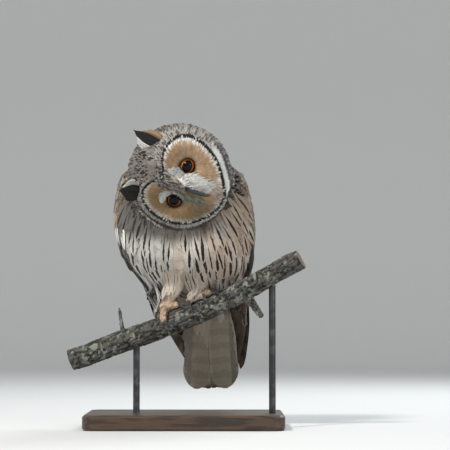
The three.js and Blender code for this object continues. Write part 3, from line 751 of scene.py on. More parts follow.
def bark_material():
    """Dark grey bark with pale crust lichen and green algae, from the mesh's own relief."""
    n = Nodes("bark")
    place = n.place()
    big = n.noise(place, 70.0, 5.0)
    small = n.noise(place, 420.0, 5.0)
    relief = n.attribute("relief", "Fac")
    crust = n.attribute("lichen", "Fac")
    fleck = n.noise(place, 1100.0, 4.0)
    colour = n.mix(n.range(relief, 0.22, 0.85), (0.010, 0.009, 0.008), (0.082, 0.076, 0.068))
    colour = n.mix(n.range(small, 0.45, 0.72, 0.0, 0.5), colour, (0.13, 0.125, 0.11))
    green = n.times(n.range(big, 0.50, 0.70), n.range(relief, 0.3, 0.8))
    colour = n.mix(n.times(green, 0.45), colour, (0.075, 0.095, 0.045))
    crusted = n.math("MULTIPLY_ADD", small, 0.5, n.math("MULTIPLY_ADD", fleck, 0.5, crust))
    patch = n.range(crusted, 1.08, 1.24)
    colour = n.mix(n.times(patch, 0.62), colour, (0.28, 0.30, 0.245))
    wander = n.times(big, 6.0)
    rings = n.math("SINE", n.math("MULTIPLY_ADD", n.attribute("pith", "Fac"), 2.6, wander))
    sawn = n.mix(n.range(rings, -1.0, 1.0), (0.10, 0.064, 0.036), (0.26, 0.185, 0.115))
    colour = n.mix(n.attribute("cut", "Fac"), colour, sawn)
    n.bump(n.math("ADD", small, n.times(big, 0.5)), 0.0009, 0.9)
    return n.finish(colour, n.range(small, 0.3, 0.7, 0.78, 0.95), Specular_IOR_Level=0.3)


def wood_material():
    """The stand's dark oiled wood: grain along the base's length."""
    n = Nodes("stand_wood")
    place = n.place()
    grain = n.noise(place, 60.0, 6.0, stretch=(0.12, 1.0, 1.0))
    pores = n.noise(place, 700.0, 3.0, stretch=(0.05, 1.0, 1.0))
    rings = n.math("SINE", n.times(grain, 42.0))
    colour = n.mix(n.range(rings, -1.0, 1.0), (0.030, 0.017, 0.010), (0.070, 0.040, 0.022))
    colour = n.mix(n.range(pores, 0.55, 0.75, 0.0, 0.6), colour, (0.012, 0.007, 0.004))
    n.bump(pores, 0.00015, 0.4)
    return n.finish(colour, n.range(pores, 0.3, 0.7, 0.32, 0.48), Coat_Weight=0.15, Coat_Roughness=0.3)


def steel_material():
    """The stand's rods: darkened steel with drawn lines."""
    n = Nodes("stand_steel")
    place = n.place()
    lines = n.noise(place, 1500.0, 3.0, stretch=(1.0, 1.0, 0.03))
    stain = n.noise(place, 90.0, 4.0)
    colour = n.mix(n.range(stain, 0.4, 0.7), (0.055, 0.056, 0.060), (0.12, 0.12, 0.125))
    n.bump(lines, 0.00008, 0.4)
    return n.finish(colour, n.range(lines, 0.3, 0.7, 0.30, 0.45), Metallic=0.9)


# The skin.


def in_front(points):
    """True on the breast's side of the border between breast and back plumage."""
    return points[:, 1] < 32 * MM - 66 * MM * ramp(points[:, 2], 0.245, 0.312)


def level_colour(points, node_ids, names):
    """Ground colour anywhere on the owl, for the skin and for the feathers over it."""
    luck = np.full(len(points), 0.5)
    across, up, ahead = head_places(points)
    share, _ = disc_share(across, up)
    face = (ahead > 12 * MM) & (share < 1.12)
    colour = breast_colour(points, luck)
    back = back_colour(points, luck)
    for i, name in enumerate(names):
        here = node_ids == i
        if name == "head":
            crown = crown_colour(across, up, ahead, luck)
            colour[here] = np.where(face[:, None], face_colour(across, up, luck), crown)[here]
        elif name.startswith("wing"):
            colour[here] = back[here]
        elif name == "tail":
            colour[here] = np.array(TAIL_GREY)
        elif name.startswith(("leg", "foot")):
            colour[here] = np.array(PEACH)
        else:
            colour[here] = np.where(in_front(points)[:, None], colour, back)[here]
    return colour


def breast_colour(points, luck):
    """Pale grey-white on the owl's right to pinkish buff on its left, a plain strip between, and painted
    shadow under the chin.
    """
    x = points[:, 0]
    strip = np.exp(-(((x - STRIP_X) / (11 * MM)) ** 2)) * (1 - ramp(points[:, 2], 0.215, 0.235))
    sag = 8 * MM * np.exp(-(((x + 12 * MM) / (22 * MM)) ** 2))
    # The band under the chin: painted shadow of the head, over the throat's own darker feathers.
    chin_shadow = ramp(points[:, 2] + sag, 0.214, 0.234) * (1 - 0.75 * ramp(x, 22 * MM, 48 * MM))
    low_side = (1 - ramp(points[:, 2], 0.158, 0.176)) * ramp(x, 48 * MM, 60 * MM)
    return painted(
        mix(BREAST_RIGHT, BREAST_LEFT, ramp(x, -20 * MM, 55 * MM)),
        (WHITE, 0.4 * ramp(noise3(points, 18 * MM, 5) + (luck - 0.5) * 0.5, 0.5, 0.85)),
        (BREAST_STRIP, 0.6 * strip),
        (THROAT_SHADOW, 0.88 * chin_shadow),
        (LOW_SIDE, low_side),
    )


def back_colour(points, luck):
    """Dark grey-brown with browner and greyer patches."""
    patchy = noise3(points, 15 * MM, 21) + (luck - 0.5) * 0.6
    colour = mix(BACK_DARK, BACK_BROWN, ramp(patchy, 0.3, 0.8))
    return mix(colour, GREY, 0.5 * ramp(noise3(points, 28 * MM, 23), 0.5, 0.8))


solids, owner_of = joined_nodes(FLESH)


def owners(points):
    """Which flesh node lies nearest to each point, as its place in FLESH."""
    return owner_of[solids.nearest(points)[2]]


def is_part(ids, *parts):
    """True where the node's name starts with one of the parts."""
    return np.isin(ids, [i for i, name in enumerate(FLESH) if name.startswith(parts)])


SKIN_SWELL = 0.5 * MM
SKIN_VOXEL = 2.2 * MM
THIN_DEPTH = 0.9 * MM
FOOT_DEPTH = 1.2 * MM
LOW_THIN_HEIGHT = 0.145
BODY_AXIS_Y = 20 * MM


def unwrap_place(points):
    """The body unrolled from its axis: angle round it and height."""
    return np.stack([np.arctan2(points[:, 1] - BODY_AXIS_Y, points[:, 0]), points[:, 2]], axis=1)


def build_skin():
    """One closed skin in place of the flesh nodes, inside them by the coat's depth."""
    parts = [surface_of(name) for name in FLESH]
    swollen = [part.verts + part.normals * SKIN_SWELL for part in parts]
    mesh = remeshed(new_mesh("form", np.concatenate(swollen), solids.tris), "form", SKIN_VOXEL, 6)
    verts, tris = mesh_arrays(mesh)
    outer = Surface(verts, tris)
    ids = owners(verts)
    thin = is_part(ids, "tail") | (verts[:, 2] < LOW_THIN_HEIGHT)
    depth = np.where(is_part(ids, "foot", "leg"), FOOT_DEPTH, COAT_DEPTH + SKIN_SWELL)
    depth = np.where(thin, THIN_DEPTH, depth)
    for _ in range(3):
        spread = np.zeros(len(verts))
        count = np.zeros(len(verts))
        for a, b in ((0, 1), (1, 2), (2, 0)):
            np.add.at(spread, tris[:, a], depth[tris[:, b]])
            np.add.at(count, tris[:, a], 1)
        depth = spread / np.maximum(count, 1)
    verts = verts - outer.normals * depth[:, None]
    mesh.vertices.foreach_set("co", verts.astype(np.float32).ravel())
    mesh.update()
    mesh.shade_smooth()
    mesh.materials.clear()
    add_values(mesh, "tint", level_colour(verts, ids, FLESH))
    unrolled = unwrap_place(verts)
    around = unrolled[:, 0] / (2 * math.pi) + 0.5
    low, high = verts[:, 2].min(), verts[:, 2].max()
    add_map(mesh, "OFBake", np.stack([around, (verts[:, 2] - low) / (high - low)], axis=1))
    new_object("owl_skin", mesh, skin_material(), FLESH)
    return Surface(verts, tris)


PLUMAGE = plumage_material()
skin = build_skin()


# Feathers of the body, in rows from the neck down.


TORSO_RADIUS = 74 * MM
# The step between feathers down the body, the step round it, and the heights where the rows start and stop.
BREAST_SITES = (7.2 * MM, 7.6 * MM, 0.150, 0.345)
BACK_SITES = (6.4 * MM, 6.8 * MM, 0.150, 0.350)
STREAKED_SITES = (12.5 * MM, 11.0 * MM, 0.158, 0.335)
# Points along each feather.
BODY_ROWS = 7
STREAKED_ROWS = 8


def body_sites(step_down, step_round, low, high):
    """Roots over the torso and wings: rays from the body's axis outwards, row by row."""
    starts, ways = [], []
    row = 0
    z = low
    count = int(2 * math.pi * TORSO_RADIUS / step_round)
    while z < high:
        share = (z - low) / (high - low)
        centre = np.array([12 * MM - 20 * MM * share, 34 * MM - 26 * MM * share, z])
        turn = (row % 2) * 0.5
        angle = (np.arange(count) + turn + rng.uniform(-0.28, 0.28, count)) / count * 2 * math.pi
        starts.append(np.broadcast_to(centre, (count, 3)))
        ways.append(np.stack([np.cos(angle), np.sin(angle), rng.uniform(-0.03, 0.03, count)], axis=1))
        z += step_down
        row += 1
    starts = np.concatenate(starts)
    ways = np.concatenate(ways)
    places, normals, _ = skin.cast(starts, ways)
    good = ~np.isnan(places[:, 0])
    return places[good], normals[good]


def body_heading(points, normals):
    """Which way feathers lie: down the body, fanning out from the throat."""
    fan = 0.25 + 0.45 * ramp(points[:, 2], 0.17, 0.28)
    fan = fan * np.where(points[:, 0] > 0, 1.7, 0.7)
    heading = np.stack(
        [fan * points[:, 0] / (80 * MM), 0.12 * np.ones(len(points)), -np.ones(len(points))], axis=1
    )
    return along_surface(heading, normals)


def breast_rows(spine, luck):
    """The breast's colour at every row of each feather."""
    rows = spine.shape[1]
    return breast_colour(spine.reshape(-1, 3), np.repeat(luck, rows)).reshape(spine.shape)


def breast_feathers():
    """Broad soft feathers over the breast, most of them plain and some streaked."""
    places, normals = body_sites(*BREAST_SITES)
    ids = owners(places)
    keep = is_part(ids, "trunk", "neck") & in_front(places)
    places, normals = places[keep], normals[keep]
    count = len(places)
    luck = rng.random(count)
    length = rng.uniform(25, 33, count) * MM
    spine, normal = walk(skin, places, body_heading(places, normals), length, BODY_ROWS)
    spine = raised(spine, normal, 0.3 * MM, rng.uniform(2.2, 3.2, count) * MM, 1.2)
    half = widths(leaf(BODY_ROWS), 6.6, 8.2, count)
    tint = breast_rows(spine, luck) * rng.uniform(0.84, 1.12, count)[:, None, None]
    mark = mix(DARK, BROWN, rng.uniform(0, 0.9, count))
    strip = np.exp(-(((places[:, 0] - STRIP_X) / (9 * MM)) ** 2)) * (places[:, 2] < 0.228)
    streaked = (rng.random(count) < 0.25) & (rng.random(count) > strip * 1.2)
    streak = np.where(streaked, rng.uniform(0.08, 0.16, count), 0.0)
    cross = np.where(rng.random(count) < 0.16 * (1 - strip), rng.uniform(0.04, 0.12, count), 0.0)
    mottle = 0.12 + 0.5 * ramp(places[:, 2], 0.222, 0.245)
    traits = traits_of(count, streak, cross, mottle)
    vanes("breast_feathers", spine, normal, half, tint, mark, traits, luck, unwrap_place(places),
          across=(-1, -0.6, -0.2, 0.2, 0.6, 1), ragged=0.12)


def back_feathers():
    """Dark streaked and mottled feathers over the back and wings."""
    places, normals = body_sites(*BACK_SITES)
    ids = owners(places)
    keep = (is_part(ids, "trunk", "neck") & ~in_front(places)) | is_part(ids, "wing")
    places, normals, ids = places[keep], normals[keep], ids[keep]
    count = len(places)
    luck = rng.random(count)
    wing = is_part(ids, "wing")
    low_wing = wing & (places[:, 2] < 0.215)
    length = np.where(low_wing, rng.uniform(26, 34, count), rng.uniform(20, 27, count)) * MM
    spine, normal = walk(skin, places, body_heading(places, normals), length, BODY_ROWS)
    spine = raised(spine, normal, 0.4 * MM, rng.uniform(2.0, 2.9, count) * MM)
    half = widths(leaf(BODY_ROWS), 6.2, 7.6, count)
    tint = back_colour(places, luck) * rng.uniform(0.8, 1.15, count)[:, None]
    spotted = rng.random(count) < 0.16
    tint = np.where(spotted[:, None], mix(tint, PALE, 0.75), tint)
    mark = mix(DARK, BROWN, rng.uniform(0, 0.6, count))
    streak = rng.uniform(0.12, 0.3, count)
    traits = traits_of(count, streak, rng.uniform(0.2, 0.75, count), rng.uniform(0.4, 0.9, count))
    vanes("back_feathers", spine, normal, half, tint, mark, traits, luck, unwrap_place(places),
          ragged=0.06)


# Feathers of the head.


def sphere_directions(count):
    """Directions spread evenly over a sphere."""
    i = np.arange(count) + 0.5
    height = 1 - 2 * i / count
    ring = np.sqrt(1 - height**2)
    turn = i * math.pi * (1 + math.sqrt(5))
    return np.stack([ring * np.cos(turn), ring * np.sin(turn), height], axis=1)


CROWN_COUNT = 5200
CROWN_ROWS = 5
CROWN_NECK_HEIGHT = 0.275


def crown_feathers():
    """Small mottled feathers over the crown, cheeks and nape, lying away from the disc."""
    ways = unit(sphere_directions(CROWN_COUNT) + rng.normal(0, 0.012, (CROWN_COUNT, 3)))
    starts = np.broadcast_to(HEAD_CENTRE, ways.shape)
    places, normals, _ = skin.cast(starts, ways)
    ids = owners(places)
    across, up, ahead = head_places(places)
    share, _ = disc_share(across, up)
    outside = (ahead < 10 * MM) | (share > 1.12)
    keep = outside & (is_part(ids, "head") | (is_part(ids, "neck") & (places[:, 2] > CROWN_NECK_HEIGHT)))
    places, normals = places[keep], normals[keep]
    across, up, ahead = across[keep], up[keep], ahead[keep]
    count = len(places)
    luck = rng.random(count)
    away = places - on_head(0.0, DISC_MIDDLE_UP, 60 * MM)
    heading = away + 0.03 * np.array([0.0, 0.3, -1.0])
    heading = along_surface(heading, normals)
    bold = rng.random(count) < 0.13
    length = rng.uniform(10, 14.5, count) * np.where(bold, 1.3, 1.0) * MM
    spine, normal = walk(skin, places, heading, length, CROWN_ROWS)
    spine = raised(spine, normal, 0.5 * MM, (rng.uniform(2.0, 3.1, count) + 0.5 * bold) * MM)
    half = widths(leaf(CROWN_ROWS), 2.5, 3.5, count)
    tint = crown_colour(across, up, ahead, luck) * rng.uniform(0.75, 1.2, count)[:, None]
    # The neck under the disc darkened: painted shadow of the head, over the neck's own darker feathers.
    throat = (1 - ramp(places[:, 2], 0.260, 0.290)) * (1 - ramp(places[:, 1], -20 * MM, 10 * MM))
    tint = tint * (1 - 0.68 * throat[:, None])
    mark = mix(BLACK, DARK, rng.uniform(0, 1, count))
    streaked = rng.random(count) < 0.5
    streak = np.where(streaked, rng.uniform(0.25, 0.6, count), 0.0)
    streak = np.where(bold, 0.8, streak)
    traits = traits_of(count, streak, 0.35, rng.uniform(0.4, 0.95, count))
    place = np.stack([np.arctan2(across, up), ahead], axis=1)
    vanes("crown_feathers", spine, normal, half, tint, mark, traits, luck, place,
          across=(-1, -0.35, 0.35, 1), ragged=0.1)


def face_heading(across, up):
    """Disc fibres stream away from the eye on their own side."""
    side = np.where(across >= -1 * MM, 1.0, -1.0)
    out = unit(np.stack([across - side * 17 * MM, up + 2 * MM], axis=-1))
    middle = (1 - ramp(np.abs(across + 1 * MM), 6 * MM, 11 * MM)) * ramp(up, -12 * MM, -6 * MM)
    return unit(out * (1 - middle[:, None]) + np.array([0.0, 1.0]) * middle[:, None])


FACE_PLANE_AHEAD = 80 * MM


def face_spines(surface, across, up, heading, length, rows):
    """Spines drawn on the face's plane and dropped onto the face, and where they run on the plane."""
    s = np.linspace(0, 1, rows)
    a = across[:, None] + heading[:, :1] * length[:, None] * s
    u = up[:, None] + heading[:, 1:] * length[:, None] * s
    starts = on_head(a.ravel(), u.ravel(), FACE_PLANE_AHEAD)
    places, normals, _ = surface.cast(starts, np.broadcast_to(-AHEAD, starts.shape))
    return places.reshape(*a.shape, 3), normals.reshape(*a.shape, 3), a, u


def drop_missing(*arrays):
    """The arrays without the feathers whose rays missed the face."""
    good = ~np.isnan(arrays[0]).any(axis=(1, 2))
    return [array[good] for array in arrays]


FACE_HALF = 64 * MM


def face_grid(step, reach):
    """Jittered places over the disc, out to a share of its reach."""
    line = np.arange(-FACE_HALF, FACE_HALF, step)
    a, u = np.meshgrid(line, line)
    a = a + (np.arange(len(line)) % 2)[:, None] * step / 2
    a = (a + rng.uniform(-0.45, 0.45, a.shape) * step).ravel()
    u = (u + rng.uniform(-0.45, 0.45, u.shape) * step).ravel()
    share, _ = disc_share(a, u)
    return a[share < reach], u[share < reach]


DISC_STEP = 1.25 * MM
EYE_HOLE = 9.2 * MM
DISC_ROWS = 4


def disc_feathers():
    """Fine fibres streaming out over the disc, short and pale at its edge."""
    a, u = face_grid(DISC_STEP, 1.15)
    share, angle = disc_share(a, u)
    below = (a < 0) & (angle < 0.1) & (share > 1.06)
    eye_gap = np.hypot(np.abs(a) - EYE_SIDE, u - EYE_UP)
    bill = (np.abs(a) < 4 * MM) & (u < -12 * MM) & (u > -38 * MM)
    keep = (eye_gap > EYE_HOLE) & ~bill & ~below
    a, u, share = a[keep], u[keep], share[keep]
    heading = face_heading(a, u)
    length = np.where(share < 0.84, rng.uniform(7, 10, len(a)), rng.uniform(3.2, 4.6, len(a))) * MM
    spine, normal, along_a, along_u = face_spines(skin, a, u, heading, length, DISC_ROWS)
    luck = rng.random(len(a))
    spine, normal, along_a, along_u, luck, share = drop_missing(spine, normal, along_a, along_u, luck, share)
    count = len(spine)
    spine = raised(spine, normal, 0.7 * MM, rng.uniform(1.7, 2.6, count) * MM, 0.7)
    widest = np.where(share < 0.84, 0.75, 1.15) * rng.uniform(0.8, 1.2, count) * MM
    half = leaf(DISC_ROWS, 0.4, 0.15)[None] * widest[:, None]
    luck_rows = np.broadcast_to(luck[:, None], along_a.shape)
    tint = face_colour(along_a, along_u, luck_rows) * rng.uniform(0.84, 1.14, count)[:, None, None]
    place = np.stack([along_a[:, 0], along_u[:, 0]], axis=1)
    vanes("disc_feathers", spine, normal, half, tint, tint * 0.4, traits_of(count), luck, place,
          across=(-1, 0, 1), camber=0.3, fine=True)


RIM_COUNT = 330
RIM_ROWS = 4
RIM_LENGTH = 2.4 * MM


def rim_feathers():
    """The disc's black beaded edge: two rows of short dark scallops."""
    count = RIM_COUNT
    angle = (np.arange(count) + rng.uniform(-0.2, 0.2, count)) / count * 2 * math.pi
    row = np.arange(count) % 2
    reach = disc_reach(50 * MM * np.cos(angle), np.arctan2(np.sin(angle), np.abs(np.cos(angle))))
    root = reach - (2.2 - 1.3 * row) * MM
    a, u = root * np.cos(angle), root * np.sin(angle) + DISC_MIDDLE_UP
    heading = np.stack([np.cos(angle), np.sin(angle)], axis=1)
    spine, normal, _, _ = face_spines(skin, a, u, heading, np.full(count, RIM_LENGTH), RIM_ROWS)
    spine, normal, row, a, u = drop_missing(spine, normal, row, a, u)
    count = len(spine)
    spine = raised(spine, normal, 1.6 * MM, (3.0 + 0.3 * row) * MM)
    half = widths(leaf(RIM_ROWS, 0.6, 0.2), 0.8, 1.1, count)
    luck = rng.random(count)
    tint = np.where((luck > 0.16)[:, None], np.array(BLACK), np.array(PALE))
    vanes("disc_rim", spine, normal, half, tint, tint, traits_of(count), luck, np.stack([a, u], axis=1),
          across=(-1, 0, 1), camber=0.3)


# Feathers laid one by one.


def straight_lines(starts, ends, rows):
    """Points along straight lines from starts to ends."""
    s = np.linspace(0, 1, rows)[None, :, None]
    return starts[:, None] * (1 - s) + ends[:, None] * s


def draped(surface, starts, ends, rows):
    """Spines from starts to ends, laid onto a surface."""
    lines = straight_lines(starts, ends, rows)
    places, normals, _ = surface.nearest(lines.reshape(-1, 3))
    places = places.reshape(lines.shape)
    normals = normals.reshape(lines.shape)
    normals = unit(normals + np.roll(normals, 1, axis=1) * 0.5 + normals.mean(axis=1, keepdims=True))
    return places, normals


def long_leaf(rows, tip=0.15):
    """A flight feather's half width: near even, with a round end."""
    s = np.linspace(0, 1, rows)
    grow = 0.45 + 0.55 * ramp(s, 0, 0.55)
    end = np.sqrt(np.clip(1 - np.clip((s - 0.82) / 0.18, 0, 1) ** 2, 0, 1))
    return grow * np.maximum(end, tip)


def even_colour(colour, count, spread=0.1):
    """One colour for every feather, a little lighter or darker on each."""
    return np.array(colour)[None] * rng.uniform(1 - spread, 1 + spread, count)[:, None]


TAIL_MIDDLE_X = 30.7 * MM
TAIL_ROOT_Z = 168 * MM
TAIL_TIP_Z = 43.5 * MM
TAIL_ROWS = 34
TAIL_PAIRS = 6
TAIL_MIDDLE_Y = 0.065
TAIL_HALF_DEPTH = 0.04
UNDER_TINT = (0.255, 0.225, 0.175)
UNDER_BARS = (0.195, 0.170, 0.132)
OVER_TINT = (0.30, 0.22, 0.135)
OVER_BARS = (0.055, 0.042, 0.032)


def tail_fan(under):
    """Twelve tail feathers: outermost in front under the tail, the middle pair behind on top."""
    tail = surface_of("tail")
    sign = -1.0 if under else 1.0
    roots, tips, most, lifts = [], [], [], []
    outside_y = TAIL_MIDDLE_Y + sign * TAIL_HALF_DEPTH
    for pair in range(TAIL_PAIRS):
        for side in (-1, 1):
            outer = pair / (TAIL_PAIRS - 1)
            near_top = outer if under else 1 - outer
            reach = (3 + 14.5 * outer) if under else (3.5 + 20.5 * outer)
            tip_z = TAIL_TIP_Z + (1 - near_top) * 5 * MM + (side > 0) * 0.8 * MM
            roots.append((TAIL_MIDDLE_X + side * (3 + 7 * outer) * MM, outside_y, TAIL_ROOT_Z))
            tips.append((TAIL_MIDDLE_X + side * reach * MM, outside_y, tip_z))
            most.append((12.5 + 4.5 * outer if under else 12.5) * MM)
            lifts.append(near_top * 1.6 * MM + (side > 0) * 0.25 * MM)
    roots, tips = np.array(roots), np.array(tips)
    count = len(roots)
    lines = straight_lines(roots, tips, TAIL_ROWS)
    ways = np.broadcast_to(np.array([0.0, -sign, 0.0]), lines.shape).reshape(-1, 3)
    places, _, _ = tail.cast(lines.reshape(-1, 3), ways)
    near, _, _ = tail.nearest(lines.reshape(-1, 3))
    places = np.where(np.isnan(places), near, places).reshape(lines.shape)
    places[:, :, 0] = lines[:, :, 0]
    places[:, :, 2] = lines[:, :, 2]
    lean = (places[:, :, 0:1] - TAIL_MIDDLE_X) * 9
    facing = [lean * sign * -0.4, np.full_like(lean, sign), np.zeros_like(lean)]
    normals = unit(np.concatenate(facing, axis=2))
    spine = places + normals * (0.15 * MM + np.array(lifts)[:, None, None])
    half = long_leaf(TAIL_ROWS)[None] * np.array(most)[:, None]
    luck = rng.random(count)
    if under:
        tint = even_colour(UNDER_TINT, count, 0.05)
        mark = even_colour(UNDER_BARS, count, 0.05)
    else:
        tint = even_colour(OVER_TINT, count, 0.06)
        mark = even_colour(OVER_BARS, count)
    name = "tail_feathers_under" if under else "tail_feathers_over"
    place = roots[:, [0, 2]] + luck[:, None] * 1e-4
    vanes(name, spine, normals, half, tint, mark, traits_of(count, 0, 0.75, 0.30), luck, place,
          across=np.linspace(-1, 1, 9), camber=0.05)


UNDERTAIL_COUNT = 40
UNDERTAIL_ROWS = 8
UNDERTAIL_X = 28 * MM


def undertail_feathers():
    """Long soft feathers over the root of the tail's underside."""
    tail = surface_of("tail")
    count = UNDERTAIL_COUNT
    share = rng.random(count)
    x = (28 + 12 * rng.uniform(-1, 1, count)) * MM
    starts = np.stack([x, np.full(count, 0.03), rng.uniform(126, 148, count) * MM], axis=1)
    length = rng.uniform(24, 30, count) * MM + 22 * MM * np.exp(-((x - UNDERTAIL_X) / (6 * MM)) ** 2)
    ends = starts + np.stack([(UNDERTAIL_X - x) * 0.25, np.zeros(count), -length], axis=1)
    spine, normal = draped(tail, starts, ends, UNDERTAIL_ROWS)
    normal = np.broadcast_to(np.array([0.0, -1.0, 0.0]), normal.shape)
    sinking = 1.2 * np.linspace(0, 1, UNDERTAIL_ROWS)[None, :, None]
    spine = spine + normal * (2.0 + 2.0 * share[:, None, None] - sinking) * MM
    half = leaf(UNDERTAIL_ROWS, 0.4)[None] * rng.uniform(4.5, 6.0, count)[:, None] * MM
    tint = mix(PALE, BUFF, rng.uniform(0, 0.6, count)) * 0.75
    traits = traits_of(count, np.where(share < 0.5, 0.10, 0.0), 0, 0.15)
    vanes("undertail_feathers", spine, normal, half, tint, even_colour(DARK, count), traits, share,
          starts[:, [0, 2]], ragged=0.08)


FLIGHT_ROWS = 22
PRIMARIES = 9
SECONDARIES = 8
FLIGHT_DARK = (0.17, 0.135, 0.098)
FLIGHT_BUFF = (0.28, 0.20, 0.12)
FLIGHT_BARS = (0.035, 0.027, 0.021)
# By side: its word, the shift of the roots, the x of the wing tip, and the x of the first secondary's tip and
# its step from tip to tip, in millimetres.
FLIGHT_LINES = {1: ("left", 0, 66, 54, -3.2), -1: ("right", 2, 15, 10, 2.0)}


BODY_AXIS = np.array([16, 24, 0]) * MM
CAST_FROM = 0.08


def laid_from_outside(surface, starts, ends, rows):
    """Spines on the outer side of a wing: straight lines cast inwards, square to the body's axis."""
    lines = straight_lines(starts, ends, rows)
    outward = lines - BODY_AXIS
    outward[..., 2] = 0
    outward = unit(outward)
    places, _, _ = surface.cast((lines + outward * CAST_FROM).reshape(-1, 3), -outward.reshape(-1, 3))
    places = places.reshape(lines.shape)
    out_by = np.sum((places - lines) * outward, axis=2)
    step = np.arange(rows)
    for i, known in enumerate(~np.isnan(out_by)):
        out_by[i] = np.interp(step, step[known], out_by[i][known]) if known.any() else 0
    smooth = (np.roll(out_by, 1, axis=1) + out_by + np.roll(out_by, -1, axis=1)) / 3
    out_by[:, 1:-1] = smooth[:, 1:-1]
    return lines + outward * out_by[..., None], outward


def flight_feathers(side):
    """Primaries down to the wing's tip, and secondaries above them towards the back."""
    word, shift, tip_x, inner_x, inner_step = FLIGHT_LINES[side]
    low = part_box(f"wing_{word}")[0][2] / MM
    starts, ends = [], []
    for i in range(PRIMARIES):
        starts.append((side * (82 - 3 * i) + shift, 38 + 4.5 * i, 196 + 3 * i))
        ends.append((tip_x - side * 2.2 * i, 80 + 1.5 * i, low + 1 + 6.5 * i))
    for i in range(SECONDARIES):
        starts.append((side * (74 - 6 * i), 62 + 2.5 * i, 228 - i))
        ends.append((inner_x + inner_step * i, 86 + 0.6 * i, 124 + 5 * i))
    starts, ends = np.array(starts) * MM, np.array(ends) * MM
    count = len(starts)
    spine, normal = laid_from_outside(surface_of(f"wing_{word}"), starts, ends, FLIGHT_ROWS)
    lift = np.concatenate([0.3 + 0.2 * np.arange(PRIMARIES), 1.2 + 0.16 * np.arange(SECONDARIES)]) * MM
    spine = spine + normal * lift[:, None, None]
    most = np.repeat([7.6, 8.8], [PRIMARIES, SECONDARIES]) * MM
    half = long_leaf(FLIGHT_ROWS, 0.1)[None] * most[:, None]
    luck = rng.random(count)
    tint = mix(FLIGHT_DARK, FLIGHT_BUFF, luck)
    tint[:4] *= 0.40
    mark = even_colour(FLIGHT_BARS, count)
    traits = traits_of(count, 0, 0.85, 0.45)
    place = starts[:, [1, 2]]
    vanes(f"flight_feathers_{word}", spine, normal, half, tint, mark, traits, luck, place,
          across=np.linspace(-1, 1, 7), camber=0.08)


def streaked_feathers():
    """The breast's bold shaft streaks: fewer, narrower feathers over the plain ones."""
    places, normals = body_sites(*STREAKED_SITES)
    ids = owners(places)
    x, z = places[:, 0], places[:, 2]
    strip = (np.abs(x - STRIP_X) < 8 * MM) & (z < 0.226)
    keep = is_part(ids, "trunk", "neck") & in_front(places) & ~strip & (rng.random(len(places)) < 0.92)
    places, normals = places[keep], normals[keep]
    count = len(places)
    luck = rng.random(count)
    heading = body_heading(places, normals)
    length = rng.uniform(26, 40, count) * MM
    spine, normal = walk(skin, places, unit(heading + rng.normal(0, 0.07, (count, 3))), length, STREAKED_ROWS)
    spine = raised(spine, normal, 2.5 * MM, rng.uniform(3.1, 4.0, count) * MM)
    half = widths(leaf(STREAKED_ROWS, 0.55, 0.1), 4.8, 6.4, count)
    tint = breast_rows(spine, luck) * rng.uniform(0.95, 1.15, count)[:, None, None]
    mark = mix(BLACK, BROWN, rng.uniform(0.0, 0.5, count) ** 1.5)
    traits = traits_of(count, rng.uniform(0.18, 0.34, count), np.where(luck > 0.7, 0.12, 0.0), 0.15)
    vanes("streaked_feathers", spine, normal, half, tint, mark, traits, luck, unwrap_place(places),
          across=(-1, -0.55, -0.18, 0.18, 0.55, 1), ragged=0.1)


PLUME_ROWS = 9


def laid_group(name, lines, tint, mark, streak, half_width, lift, spread=3 * MM):
    """Feathers laid along given lines, each line holding a few side by side."""
    starts, ends = [], []
    for start, end, count in lines:
        offset = rng.uniform(-1, 1, (count, 3)) * spread
        starts.append(np.array(start) * MM + offset)
        ends.append(np.array(end) * MM + offset * 0.7)
    starts, ends = np.concatenate(starts), np.concatenate(ends)
    count = len(starts)
    spine, normal = draped(skin, starts, ends, PLUME_ROWS)
    spine = raised(spine, normal, lift * 0.5, rng.uniform(0.8, 1.15, count) * lift)
    half = leaf(PLUME_ROWS, 0.55, 0.1)[None] * (rng.uniform(0.8, 1.2, count) * half_width)[:, None]
    luck = rng.random(count)
    vanes(name, spine, normal, half, even_colour(tint, count), even_colour(mark, count),
          traits_of(count, streak, 0, 0.12), luck, unwrap_place(starts), ragged=0.08)


